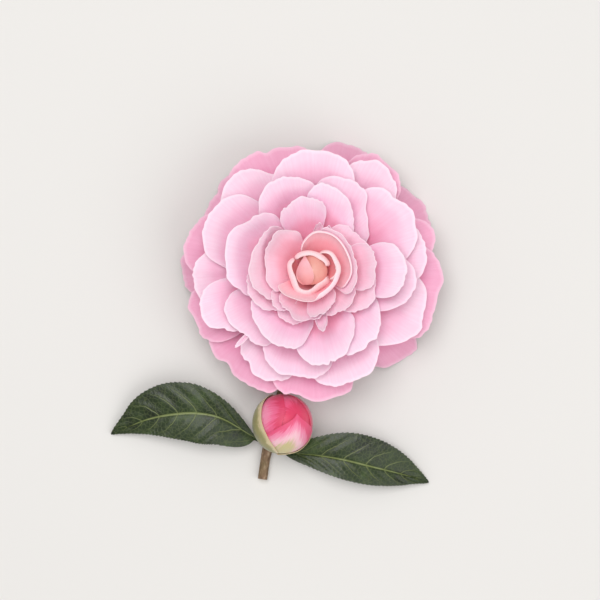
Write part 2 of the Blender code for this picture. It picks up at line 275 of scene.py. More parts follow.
class Skin:
    """One material while its nodes are put together."""

    def __init__(self, name: str) -> None:
        """Starts the material.

        Args:
            name: Its name.
        """
        self.material = bpy.data.materials.new(name)
        self.material.use_nodes = True
        self.tree = self.material.node_tree
        where = self.add(Kind.WHERE)
        self.spot, self.uv = where.outputs["Object"], where.outputs["UV"]

    def feed(self, node: bpy.types.Node, *placed: object, **named: object) -> None:
        """Sets or links a node's inputs.

        Args:
            node: The node.
            *placed: What goes into its first inputs, in order: a value, an output socket, or another
                node, which stands for its first output in use.
            **named: What goes into others, by their name with _ for a space, or by i and their place.
        """
        given = list(zip(node.inputs, placed))
        for key, value in named.items():
            place = int(key[1:]) if key[1:].isdigit() else key.replace("_", " ")
            given.append((node.inputs[place], value))
        for socket, value in given:
            if isinstance(value, bpy.types.Node):
                value = next(output for output in value.outputs if output.enabled)
            if isinstance(value, bpy.types.NodeSocket):
                self.tree.links.new(value, socket)
            else:
                socket.default_value = value

    def add(self, kind: Kind, *placed: object, stops: Stops = (), **named: object) -> bpy.types.Node:
        """Adds one shader node, sets it up and links it.

        Args:
            kind: The kind of node.
            *placed: What goes into its first inputs, as feed takes it.
            stops: A colour ramp's pairs of a place and an sRGB colour.
            **named: What goes into other inputs, as feed takes it.

        Returns:
            The new node.
        """
        name, settings = kind.value
        node = self.tree.nodes.new(name)
        for key, value in settings.items():
            setattr(node, key, value)
        if stops:
            ramp = node.color_ramp
            ramp.interpolation = "EASE"
            while len(ramp.elements) < len(stops):
                ramp.elements.new(0.5)
            for element, (place, colour) in zip(ramp.elements, stops):
                element.position = place
                element.color = linear(colour)
        self.feed(node, *placed, **named)
        return node

    def cloudy(self, size: float, spread: float) -> bpy.types.Node:
        """The place from foot to rim, shifted up and down by soft patches.

        Args:
            size: How wide the patches are.
            spread: How far they shift it.

        Returns:
            The node that gives it.
        """
        cloud = self.add(Kind.NOISE, self.spot, Scale=per_metre(size), Detail=3.0)
        shift = self.add(Kind.TIMES_PLUS, cloud, spread, -spread / 2.0)
        return self.add(Kind.PLUS, shift, self.add(Kind.SPLIT, self.uv).outputs["Y"])

    def margin(self, side: tuple[float, float], end: tuple[float, float], most: float) -> bpy.types.Node:
        """A band along the two sides and the rim of a piece.

        Args:
            side: Where it begins and is whole, as shares of the width from the side.
            end: Where it begins and is whole, as shares of the length.
            most: How strong it is where it is whole.

        Returns:
            The node that gives its strength.
        """
        place = self.add(Kind.SPLIT, self.uv)
        near = self.add(Kind.RANGE, self.add(Kind.THERE_AND_BACK, place, 0.5), *side, 0.0, most)
        return self.add(Kind.LARGER, near, self.add(Kind.RANGE, place.outputs["Y"], *end, 0.0, most))

    def off_middle(self) -> bpy.types.Node:
        """How far a point is from the middle line, from 0 to 1 at the margin."""
        return self.add(Kind.UNSIGNED, self.add(Kind.TIMES_PLUS, self.add(Kind.SPLIT, self.uv), 2.0, -1.0))

    def streaks(self, counts: Counts, **settings: float) -> bpy.types.Node:
        """Noise drawn out along the piece, with this many streaks across it and along it."""
        return self.add(Kind.NOISE, self.add(Kind.STRETCH, self.uv, counts), Scale=1.0, **settings)


@dataclass(frozen=True)
class Finish:
    """What every finish has: a name, and nodes of its own that feed one shader."""

    name: str

    def paint(self, skin: Skin) -> dict[str, object]:
        """Adds the nodes of the finish.

        Args:
            skin: The material.

        Returns:
            What goes into the shader's inputs.
        """
        raise NotImplementedError

    def make(self) -> bpy.types.Material:
        """Builds the material.

        Returns:
            The new material.
        """
        skin = Skin(self.name)
        skin.feed(skin.tree.nodes["Principled BSDF"], **self.paint(skin))
        return skin.material


@dataclass(frozen=True)
class PetalFinish(Finish):
    """Living camellia petal: a thin, faintly waxy skin over wet tissue that scatters light.

    The eye gets a soft satin surface with no hard highlight. The colour deepens towards the claw,
    partly the petal's own colour and partly painted shade where it lies under the next petal, and
    pales to the rim, whose very edge is nearly white, partly a pale margin and partly a painted
    highlight. Light that enters comes back out pink. cloud and grain are the widths of the
    soft patches in the colour and of the skin's pimples, drawn coarser than real ones, which are too
    fine to show. veins says how many lie across a petal and how often they stray along it: on one
    30 mm wide they are half a millimetre apart.
    """

    claw: str
    heart: str
    middle: str
    rim: str
    edge: str
    cloud: float = 13.333
    grain: float = 0.3846
    veins: Counts = (58.0, 2.4, 1.0)

    def paint(self, skin: Skin) -> dict[str, object]:
        """Adds the nodes of the petal's skin.

        Args:
            skin: The material.

        Returns:
            What goes into the shader's inputs.
        """
        # The ramp deepens from the rim to the claw: partly the petal's own colour and partly painted shade
        # in the crevice where each petal lies under the next.
        stops = ((0.10, self.claw), (0.50, self.heart), (0.76, self.middle), (0.94, self.rim))
        ramp = skin.add(Kind.RAMP, skin.cloudy(self.cloud, 0.22), stops=stops)
        # Veins run from the claw to the rim and fan out with it.
        vein = skin.streaks(self.veins, Detail=4.0, Roughness=0.62, Distortion=0.25)
        depth = skin.add(Kind.RANGE, vein, 0.34, 0.72, 0.0, 1.0)
        tint = skin.add(Kind.RAMP, depth, stops=((0.0, self.heart), (1.0, "#ffffff")))
        tinted = skin.add(Kind.TINT, 0.10, i6=ramp, i7=tint)
        # The very edge of a petal is nearly white: partly its own thin, pale margin and partly a painted
        # highlight where the rim catches the light.
        edge = skin.margin((0.022, 0.004), (0.960, 0.992), 0.70)
        pimples = skin.add(Kind.NOISE, skin.spot, Scale=per_metre(self.grain), Detail=1.0)
        raised = skin.add(Kind.TIMES_PLUS, pimples, 0.16, vein)
        return dict(
            Base_Color=skin.add(Kind.MIX, edge, i6=tinted, i7=linear(self.edge)),
            Normal=skin.add(Kind.BUMP, Height=raised, Strength=0.20, Distance=0.4 * MM),
            Roughness=0.60, IOR=1.42, Specular_IOR_Level=0.30,
            Subsurface_Weight=0.12, Subsurface_Radius=(1.0, 0.85, 0.9), Subsurface_Scale=0.4 * MM,
        )


@dataclass(frozen=True)
class LeafFinish(Finish):
    """A camellia leaf: thick and leathery, dark green under a waxy, glossy cuticle.

    The eye gets a broad, broken shine. The midrib is pale, the side veins are fine pale lines, and the
    blade between them is finely pebbled. The green lies in darker and lighter patches, and the
    lightest, in the sheen colour, are a painted sheen. cloud, stray, net and pebble are the widths of
    the patches of green and painted sheen, of the veins' wandering, of one mesh of the smallest veins
    and of a pebble.
    """

    name: str = "glossy_leaf_skin"
    deep: str = "#121d09"
    blade: str = "#20300f"
    sheen: str = "#364820"
    vein: str = "#747e4a"
    cloud: float = 8.333
    stray: float = 4.762
    net: float = 1.389
    pebble: float = 0.6667

    def paint(self, skin: Skin) -> dict[str, object]:
        """Adds the nodes of the leaf's skin.

        Args:
            skin: The material.

        Returns:
            What goes into the shader's inputs.
        """
        cloud = skin.add(Kind.NOISE, skin.spot, Scale=per_metre(self.cloud), Detail=4.0, Roughness=0.55)
        # The cloud spreads darker and lighter green over the blade, and its lightest patches, in the sheen
        # colour, are a painted sheen.
        stops = ((0.30, self.deep), (0.52, self.blade), (0.72, self.sheen))
        ramp = skin.add(Kind.RAMP, cloud, stops=stops)
        across = skin.off_middle()
        rib = skin.add(Kind.RANGE, across, 0.060, 0.022, 0.0, 1.0)
        # Side veins leave the midrib in pairs and sweep forward towards the margin.
        swept = skin.add(Kind.POWER, across, VEIN_CURVE)
        along = skin.add(Kind.SPLIT, skin.uv).outputs["Y"]
        behind = skin.add(Kind.TIMES_PLUS, swept, -VEIN_SWEEP, along)
        wander = skin.add(Kind.NOISE, skin.spot, Scale=per_metre(self.stray), Detail=1.0)
        count = skin.add(Kind.TIMES, skin.add(Kind.TIMES_PLUS, wander, 0.030, behind), SIDE_VEINS)
        line = skin.add(Kind.RANGE, skin.add(Kind.THERE_AND_BACK, count, 0.5), 0.055, 0.0, 0.0, 1.0)
        side = skin.add(Kind.TIMES, line, skin.add(Kind.RANGE, across, 0.96, 0.45, 0.0, 0.75))
        net = skin.add(Kind.NET, skin.spot, Scale=per_metre(self.net))
        mesh = skin.add(Kind.RANGE, net, 0.10, 0.0, 0.0, 0.22)
        lines = skin.add(Kind.LARGER, skin.add(Kind.LARGER, side, mesh), rib)
        pebbles = skin.add(Kind.NOISE, skin.spot, Scale=per_metre(self.pebble), Detail=2.0)
        raised = skin.add(Kind.MINUS, skin.add(Kind.TIMES_PLUS, pebbles, 0.35, mesh), side)
        return dict(
            Base_Color=skin.add(Kind.MIX, lines, i6=ramp, i7=linear(self.vein)),
            Normal=skin.add(Kind.BUMP, Height=raised, Strength=0.45, Distance=0.4 * MM),
            Roughness=skin.add(Kind.RANGE, cloud, 0.3, 0.7, 0.28, 0.45),
            IOR=1.45, Specular_IOR_Level=0.36, Coat_Weight=0.22, Coat_Roughness=0.22,
        )


@dataclass(frozen=True)
class BudFinish(Finish):
    """The outer petals of a closed bud: deep rose-pink, streaked paler and greenish where they show most.

    They are younger, tighter and wetter than the open ones, so the eye gets a closer sheen and a deeper
    glow. streaks says how many lie across a petal and along it: they are a third of a millimetre wide.
    """

    foot: str
    blaze: str
    rose: str
    deep: str
    streaks: Counts = (46.0, 3.0, 1.0)

    def paint(self, skin: Skin) -> dict[str, object]:
        """Adds the nodes of the bud's skin.

        Args:
            skin: The material.

        Returns:
            What goes into the shader's inputs.
        """
        # The pale blaze up the back of each petal is widest at the foot and gone before the tip.
        far = skin.add(Kind.RANGE, skin.add(Kind.SPLIT, skin.uv).outputs["Y"], 0.58, 0.94, 0.0, 0.70)
        narrowed = skin.add(Kind.MINUS, 1.0, far)
        blaze = skin.add(Kind.TIMES_PLUS, skin.off_middle(), narrowed, far)
        streak = skin.streaks(self.streaks, Detail=4.0, Roughness=0.6)
        broken = skin.add(Kind.TIMES_PLUS, streak, 0.54, blaze)
        stops = ((0.36, self.foot), (0.60, self.blaze), (0.84, self.rose), (1.0, self.deep))
        return dict(
            Base_Color=skin.add(Kind.RAMP, broken, stops=stops),
            Normal=skin.add(Kind.BUMP, Height=streak, Strength=0.25, Distance=0.3 * MM),
            Roughness=0.42, IOR=1.42, Sheen_Weight=0.15,
            Subsurface_Weight=0.2, Subsurface_Radius=(1.0, 0.35, 0.40), Subsurface_Scale=1.5 * MM,
        )


@dataclass(frozen=True)
class SepalFinish(Finish):
    """A bud scale: yellow-green and downy, with a dry cream margin and a brownish cast at its foot.

    The down gives the eye a soft bloom in place of a shine. cloud is the width of the patches of green
    and down that of a tuft of hairs, drawn coarser than the hairs themselves, which wouldn't show.
    """

    name: str = "sepal_skin"
    foot: str = "#4c4622"
    green: str = "#6c6a30"
    pale: str = "#8d864a"
    margin: str = "#cdbb92"
    cloud: float = 3.125
    down: float = 0.3333

    def paint(self, skin: Skin) -> dict[str, object]:
        """Adds the nodes of the scale's skin.

        Args:
            skin: The material.

        Returns:
            What goes into the shader's inputs.
        """
        stops = ((0.0, self.foot), (0.50, self.green), (0.88, self.pale), (1.0, self.margin))
        ramp = skin.add(Kind.RAMP, skin.cloudy(self.cloud, 0.5), stops=stops)
        edge = skin.margin((0.10, 0.01), (0.86, 0.98), 0.9)
        down = skin.add(Kind.NOISE, skin.spot, Scale=per_metre(self.down), Detail=2.0)
        return dict(
            Base_Color=skin.add(Kind.MIX, edge, i6=ramp, i7=linear(self.margin)),
            Normal=skin.add(Kind.BUMP, Height=down, Strength=0.3, Distance=0.2 * MM),
            Roughness=0.5, Sheen_Weight=0.25, Subsurface_Weight=0.08, Subsurface_Scale=1.0 * MM,
        )


@dataclass(frozen=True)
class BarkFinish(Finish):
    """A young camellia twig: smooth grey-brown bark with fine cracks along it and pale pores.

    The eye gets a dry, matt skin. cracks says how many lie round the twig and along it, cloud is the
    width of the patches that are still green, and pore the distance between pores.
    """

    name: str = "young_bark"
    dark: str = "#4a3526"
    brown: str = "#7c6048"
    pale: str = "#a89078"
    green: str = "#6d6a3c"
    cracks: Counts = (9.0, 34.0, 1.0)
    cloud: float = 11.111
    pore: float = 1.111

    def paint(self, skin: Skin) -> dict[str, object]:
        """Adds the nodes of the bark.

        Args:
            skin: The material.

        Returns:
            What goes into the shader's inputs.
        """
        crack = skin.streaks(self.cracks, Detail=5.0, Roughness=0.6)
        ramp = skin.add(Kind.RAMP, crack, stops=((0.30, self.dark), (0.50, self.brown), (0.74, self.pale)))
        cloud = skin.add(Kind.NOISE, skin.spot, Scale=per_metre(self.cloud), Detail=2.0)
        share = skin.add(Kind.RANGE, cloud, 0.45, 0.75, 0.0, 0.7)
        pores = skin.add(Kind.CELLS, skin.spot, Scale=per_metre(self.pore))
        bumps = skin.add(Kind.TIMES_PLUS, pores, -0.4, crack)
        return dict(
            Base_Color=skin.add(Kind.MIX, share, i6=ramp, i7=linear(self.green)),
            Normal=skin.add(Kind.BUMP, Height=bumps, Strength=0.6, Distance=0.4 * MM),
            Roughness=0.72,
        )


@dataclass(frozen=True)
class CutWoodFinish(Finish):
    """Freshly cut green wood: cream and matt to the eye, with darker rays half a millimetre wide."""

    name: str = "cut_wood"
    wood: str = "#d9c9a2"
    pith: str = "#a58f66"
    ray: float = 0.5556

    def paint(self, skin: Skin) -> dict[str, object]:
        """Adds the nodes of the cut end.

        Args:
            skin: The material.

        Returns:
            What goes into the shader's inputs.
        """
        rays = skin.add(Kind.NOISE, skin.spot, Scale=per_metre(self.ray), Detail=3.0)
        ramp = skin.add(Kind.RAMP, rays, stops=((0.35, self.pith), (0.6, self.wood)))
        return dict(Base_Color=ramp, Roughness=0.8)


@dataclass(frozen=True)
class PaperFinish(Finish):
    """The floor: a sheet of pale studio paper, quite matt to the eye."""

    name: str = "pale_floor"
    colour: str = "#dcdad7"

    def paint(self, skin: Skin) -> dict[str, object]:
        """Gives the paper its plain colour."""
        return dict(Base_Color=linear(self.colour), Roughness=0.8)


BUD_FACE_FINISH = BudFinish("bud_petal_skin", "#c9b988", "#f5bcc8", "#f188a8", "#e4527a")
BUD_SIDE_FINISH = BudFinish("bud_side_petal_skin", "#f5a0b8", "#f188a8", "#ea628a", "#d83e64")
# The petal rows are copies of one skin that differ partly by light: the guard row is darker and duskier,
# partly painted shade on the outermost ring, and the middle, inner and hood rows are paler, partly painted
# light that offsets the shade of the cup they lie in.
GUARD_FINISH = PetalFinish("guard_petal_skin", "#cc6488", "#dc86a8", "#e69abb", "#ecacc8", "#f2c6d9")
OUTER_FINISH = PetalFinish("outer_petal_skin", "#e07c9a", "#ea98b6", "#f0bcd4", "#f2d0e2", "#f8e0ec")
MIDDLE_FINISH = PetalFinish("middle_petal_skin", "#e88aa4", "#f0a6c0", "#f4cae0", "#f5d9ea", "#fae6f1")
INNER_FINISH = PetalFinish("inner_petal_skin", "#ec8e9e", "#f4b4c6", "#f8ccdd", "#f9d9e8", "#fce6f0")
HOOD_FINISH = PetalFinish("hood_petal_skin", "#e8808a", "#f4acb8", "#f9c6d0", "#fad4dd", "#fde6eb")
HEART_FINISH = PetalFinish("curled_petal_skin", "#d85462", "#f09aa0", "#fbd0d4", "#fbd8dc", "#fde7e9")
CORE_FINISH = PetalFinish("heart_bud_skin", "#d8827c", "#e2948c", "#e8a69b", "#edb2a7", "#f3c4ba")
FRINGE_FINISH = PetalFinish("fringe_petal_skin", "#f298b0", "#f6bbd0", "#f9d0e2", "#fadcea", "#fce6f1")
TONGUE_FINISH = PetalFinish("heart_petal_skin", "#ea9c9c", "#f0adb2", "#f5b6be", "#f3aab0", "#facfd2")


# --- the flower ----------------------------------------------------------------------------------


def apart(azimuth: np.ndarray | float, other: float) -> np.ndarray:
    """How many degrees lie between azimuths."""
    return np.abs((azimuth - other + 180.0) % 360.0 - 180.0)


@dataclass(frozen=True)
class Shells:
    """The nested surfaces of revolution that carry the petals, from the lowest (0) to the highest (1).

    foot_deg and rim_deg are the slopes at a shell's two ends, roll_deg how far its end turns down
    again, and reach its radius there, each given for the shells that at names. The spreads and
    roll_from are shares of a shell's length, steepest is the least cosine that its mean slope counts
    with, and spare how much further than its reach it is drawn.
    """

    at: tuple[float, ...] = (0.0, 0.1, 0.2, 0.3, 0.4, 0.5, 0.6, 0.7, 0.8, 0.9, 1.0)
    foot_deg: tuple[float, ...] = (14, 13, 12, 11, 10, 11, 14, 19, 28, 40, 54)
    rim_deg: tuple[float, ...] = (-22, -4, 12, 26, 40, 53, 66, 76, 86, 94, 102)
    roll_deg: tuple[float, ...] = (14, 18, 20, 20, 20, 18, 12, 6, 0, 0, 0)
    reach: tuple[float, ...] = (46, 43, 40, 35.5, 30.5, 25.5, 20.5, 17, 13, 9, 5)
    foot_radius: tuple[float, float] = (6.0, 1.6)
    foot_height: tuple[float, float] = (13.0, 27.4)
    arc_step: float = 0.1
    rise_spread: float = 1.15
    roll_from: float = 0.70
    roll_spread: float = 0.45
    steepest: float = 0.35
    spare: float = 1.25

    def section(self, share: float) -> np.ndarray:
        """The section of one shell.

        Args:
            share: The shell, from 0 to 1.

        Returns:
            Rows of radius, height and slope in radians, one for every step of arc length.
        """
        rows = (self.foot_deg, self.rim_deg, self.roll_deg, self.reach)
        foot, rim, roll, reach = (float(np.interp(share, self.at, row)) for row in rows)
        radius, height = (low + (high - low) * share for low, high in (self.foot_radius, self.foot_height))
        span = (reach - radius) / max(self.steepest, math.cos(math.radians((foot + rim) / 2.0)))
        part = (np.arange(int(self.spare * span / self.arc_step)) + 0.5) * self.arc_step / span
        down = roll * smooth((part - self.roll_from) / self.roll_spread)
        slope = np.radians(foot + ((rim - foot) * smooth(part / self.rise_spread) - down))
        radii = np.concatenate(([radius], radius + np.cumsum(np.cos(slope)) * self.arc_step))
        heights = np.concatenate(([height], height + np.cumsum(np.sin(slope)) * self.arc_step))
        return np.stack((radii, heights, np.concatenate((slope[:1], slope))))


@dataclass(frozen=True)
class BudPush:
    """How the bud below pushes one side of the flower up."""

    height: float = 6.4
    azimuth: float = 259.0
    half_width: float = 64.0
    reach: float = 46.0

    def at(self, azimuth: np.ndarray, radius: np.ndarray) -> np.ndarray:
        """The push in millimetres at these places."""
        off = np.minimum(apart(azimuth, self.azimuth) / self.half_width, 1.0)
        return self.height * np.cos(off * np.pi / 2.0) ** 2 * (radius / self.reach) ** 2


@dataclass(frozen=True)
class Petal:
    """One petal: a sector of its shell, narrow at the claw and rounded at the rim.

    half is half of the angle that it spans. left, right and power say how far and how sharply the rim
    falls back at the two sides, and droop how far it hangs. lap is how far its sides pass free of the
    next petal. A notch is a place from -1 to 1, a depth and a width. roll is the radius and the turn of
    a rim that rolls in, roll_span the part of the petal that rolls, and swell how much thicker the
    roll is at its left end. lip is how far the rim turns down. level sets a small petal that stands for
    no solid between two shells. outline holds azimuths and radii of the rim as they look from above.
    """

    name: str
    azimuth: float
    half: float
    reach: float
    left: float = 0.30
    right: float = 0.30
    power: float = 2.6
    droop: float = 0.0
    swell: float = 0.0
    lap: float = 0.0
    ruffle: float = 0.45
    crease: float = 0.25
    lip: float = 0.10
    notches: tuple[tuple[float, float, float], ...] = ()
    roll: tuple[float, float] = (0.0, 0.0)
    roll_span: tuple[float, float] = (-1.3, 1.3)
    level: float | None = None
    outline: tuple[tuple[float, float], ...] = ()

    @property
    def rolled(self) -> bool:
        """Whether its rim rolls in."""
        return self.roll[0] > 0.0

    def fall(self, u: np.ndarray) -> np.ndarray:
        """How the rim falls back towards both sides, as a share of the reach."""
        return rounded(u, np.where(u > 0, self.left, self.right), self.power)

    def rim(self, u: np.ndarray) -> np.ndarray:
        """How far the rim reaches before it rolls.

        Args:
            u: The place across the petal, from -1 on its right side to 1 on its left.

        Returns:
            The radius that it reaches.
        """
        if self.rolled or not self.outline:
            return self.reach * self.fall(u)
        held = []
        for azimuth, radius in self.outline:
            place = np.array(np.clip((azimuth - self.azimuth) / self.half, -0.97, 0.97))
            held.append((azimuth, radius / float(self.fall(place))))
        return through(self.azimuth + self.half * u, tuple(held)) * self.fall(u)


@dataclass(frozen=True)
class Flower:
    """The open flower: petals on nested shells, each on the lowest that is free where it lies.

    An outline holds radii as they look from seen_from above the plane, so a rim that stands higher is
    drawn in. waves is how fast the two ruffles of a petal run across it, in radians. ripples and tears
    are the depth and the rate of the small irregularities of a rim.
    """

    shells: Shells = field(default_factory=Shells)
    push: BudPush = field(default_factory=BudPush)
    claw_width: float = 0.70
    claw_length: float = 0.55
    cup: float = 1.1
    waves: tuple[float, float] = (1.6 * math.pi, 1.6 * 6.1)
    thickness: float = 0.34
    rim_share: float = 0.5
    level_margin: float = 3.0
    top_level: float = 16.0
    plane: float = 10.0
    seen_from: float = 750.0
    ripples: tuple[float, float] = (0.14, 17.0)
    tears: tuple[float, float] = (0.09, 37.0)
    tilt: float = 0.25
    crease_sway: float = 0.12
    crease_width: float = 0.16
    lip_share: float = 0.14
    rolled_share: float = 0.968
    roll_flatness: float = 0.58
    roll_unevenness: float = 0.07
    roll_fade: float = 0.25
    cells: tuple[int, int] = (64, 40)
    small_cells: tuple[int, int] = (24, 40)
    small_half: float = 16.0

    def levels(self, petals: tuple[Petal, ...]) -> dict[str, float]:
        """The level of each petal: one above the highest petal that it laps over.

        Args:
            petals: The petals, from the lowest to the highest.

        Returns:
            The levels by name.
        """
        placed: list[tuple[Petal, float]] = []
        found = {petal.name: petal.level for petal in petals if petal.level is not None}
        for petal in (each for each in petals if each.level is None):
            width = petal.half - petal.lap + self.level_margin
            below = (
                level + 1.0
                for other, level in placed
                if apart(petal.azimuth, other.azimuth) < width + other.half - other.lap
            )
            found[petal.name] = max(below, default=0.0)
            placed.append((petal, found[petal.name]))
        return found

    def length(self, petal: Petal, u: np.ndarray, section: np.ndarray, phase: np.ndarray) -> np.ndarray:
        """How long a petal is along its shell.

        Args:
            petal: The petal.
            u: The place across it, from -1 to 1.
            section: The section of its shell.
            phase: Where the irregularities of its rim start, in radians.

        Returns:
            The length at each u.
        """
        reached = np.maximum.accumulate(section[0])
        rim = petal.rim(u)
        if not petal.rolled:
            level = np.interp(rim, reached, section[1]) + self.push.at(petal.azimuth + petal.half * u, rim)
            rim = rim * (1.0 - (level - self.plane) / self.seen_from)
            torn = self.tears[0] * (1.0 + np.sin(u * 5.0 + phase[0]))
            rippled = self.ripples[0] * np.sin(u * self.ripples[1] + phase[1])
            rim = rim + rippled + torn * np.sin(u * self.tears[1] + phase[3])
        length = np.interp(rim, reached, np.arange(section.shape[1])) * self.shells.arc_step
        for middle, depth, width in petal.notches:
            length = length - depth * bell(u, middle, width)
        return length

    def roll(
        self, petal: Petal, u: np.ndarray, curled: np.ndarray, phase: float
    ) -> tuple[np.ndarray, np.ndarray]:
        """Where a rim that rolls in on a flattened circle is, from where it leaves its shell.

        Args:
            petal: The petal.
            u: The place across it, from -1 to 1.
            curled: How far it has rolled, in radians.
            phase: Where the unevenness of the roll starts, in radians.

        Returns:
            How far it is along the shell's slope and square to it.
        """
        closing = max(0.04, petal.roll[0] / (petal.reach * math.radians(petal.half)))
        ended = np.clip((np.abs(u) - 1.0 + closing) / closing, 0.0, 0.99)
        uneven = 1.0 + petal.swell * u + self.roll_unevenness * np.sin(u * 7.0 + phase)
        radius = petal.roll[0] * uneven * np.sqrt(1.0 - ended**2)
        return radius * self.roll_flatness * np.sin(curled), radius * (1.0 - np.cos(curled))

    def place(self, petal: Petal, level: float, index: int) -> Place:
        """Finds how a petal lies.

        Args:
            petal: The petal.
            level: How many petals lie under it.
            index: Its place in the order of building, which picks its irregularities.

        Returns:
            The function that puts each vertex in its place.
        """
        section = self.shells.section(level / self.top_level)
        step = self.shells.arc_step
        marks = np.arange(section.shape[1])
        chance = np.random.default_rng(SEED + index)
        phase = chance.uniform(0.0, 2.0 * math.pi, 4)
        sway = chance.uniform(-1.0, 1.0, 2)

        def put(v: np.ndarray, s: np.ndarray) -> np.ndarray:
            """Places the petal's vertices."""
            u = np.sin(v * np.pi / 2.0)
            length = self.length(petal, u, section, phase)
            distance = length * s
            on_shell = distance
            if petal.rolled:
                (low, high), (circle, turned) = petal.roll_span, petal.roll
                share = smooth((u - low) / self.roll_fade + 0.5) * smooth((high - u) / self.roll_fade + 0.5)
                on_shell = np.minimum(distance, length - circle * math.radians(turned) * share)
            radius, height, slope = (np.interp(on_shell / step, marks, row) for row in section)
            if petal.rolled:
                wanted = through(petal.azimuth + petal.half * u, petal.outline) * self.rolled_share
                held = np.interp(np.max(on_shell) / step, marks, section[0])
                curled = (distance - on_shell) / circle
                run, rise = self.roll(petal, u, curled, phase[0])
                radius = radius + (wanted - held) * smooth(s / 0.75)
                radius = radius + run * np.cos(slope) - rise * np.sin(slope)
                height = height + run * np.sin(slope) + rise * np.cos(slope)
                slope = slope + curled
            # Ruffles, a shallow crease down the middle and a lip that turns down grow towards the rim.
            free = smooth((s - 0.45) / 0.55)
            proud = np.sin(u * self.waves[0] + phase[2]) + 0.45 * np.sin(u * self.waves[1] + phase[3])
            proud = (petal.ruffle * proud + self.tilt * sway[1] * u) * free
            fold = bell(u, self.crease_sway * sway[0], self.crease_width) * smooth(s / 0.7)
            turned_down = smooth((s - 1.0 + self.lip_share) / self.lip_share) * (1.0 - 0.6 * np.abs(u))
            proud = proud - petal.crease * fold - petal.lip * turned_down
            wide = self.claw_width + (1.0 - self.claw_width) * smooth(s / self.claw_length)
            turn = petal.azimuth + petal.half * wide * u
            radius = radius - proud * np.sin(slope)
            height = height + proud * np.cos(slope) + self.push.at(turn, radius)
            height = np.maximum(height + (self.cup * u * u - petal.droop) * s**3, self.thickness * 0.6)
            return around(radius, np.radians(turn), height)

        return put

    def grow(self, petals: tuple[Petal, ...], finishes: dict[str, bpy.types.Material]) -> None:
        """Builds every petal.

        Args:
            petals: The petals, from the lowest to the highest.
            finishes: The material of each row, by the first word of its petals' names.
        """
        levels = self.levels(petals)
        for index, petal in enumerate(petals):
            row = petal.name.split("_")[0]
            Sheet(
                f"{petal.name}_skin",
                self.small_cells if petal.half < self.small_half else self.cells,
                self.place(petal, levels[petal.name], index),
                finishes[row],
                Slot.HEART if row == "curl" else Slot.PETAL,
                (petal.name,) if petal.level is None else (),
                self.thickness,
                self.rim_share,
            ).build()


# A rim that rolls in has no ruffle, lip or crease of its own.
PLAIN = {"ruffle": 0.0, "lip": 0.0, "crease": 0.0}

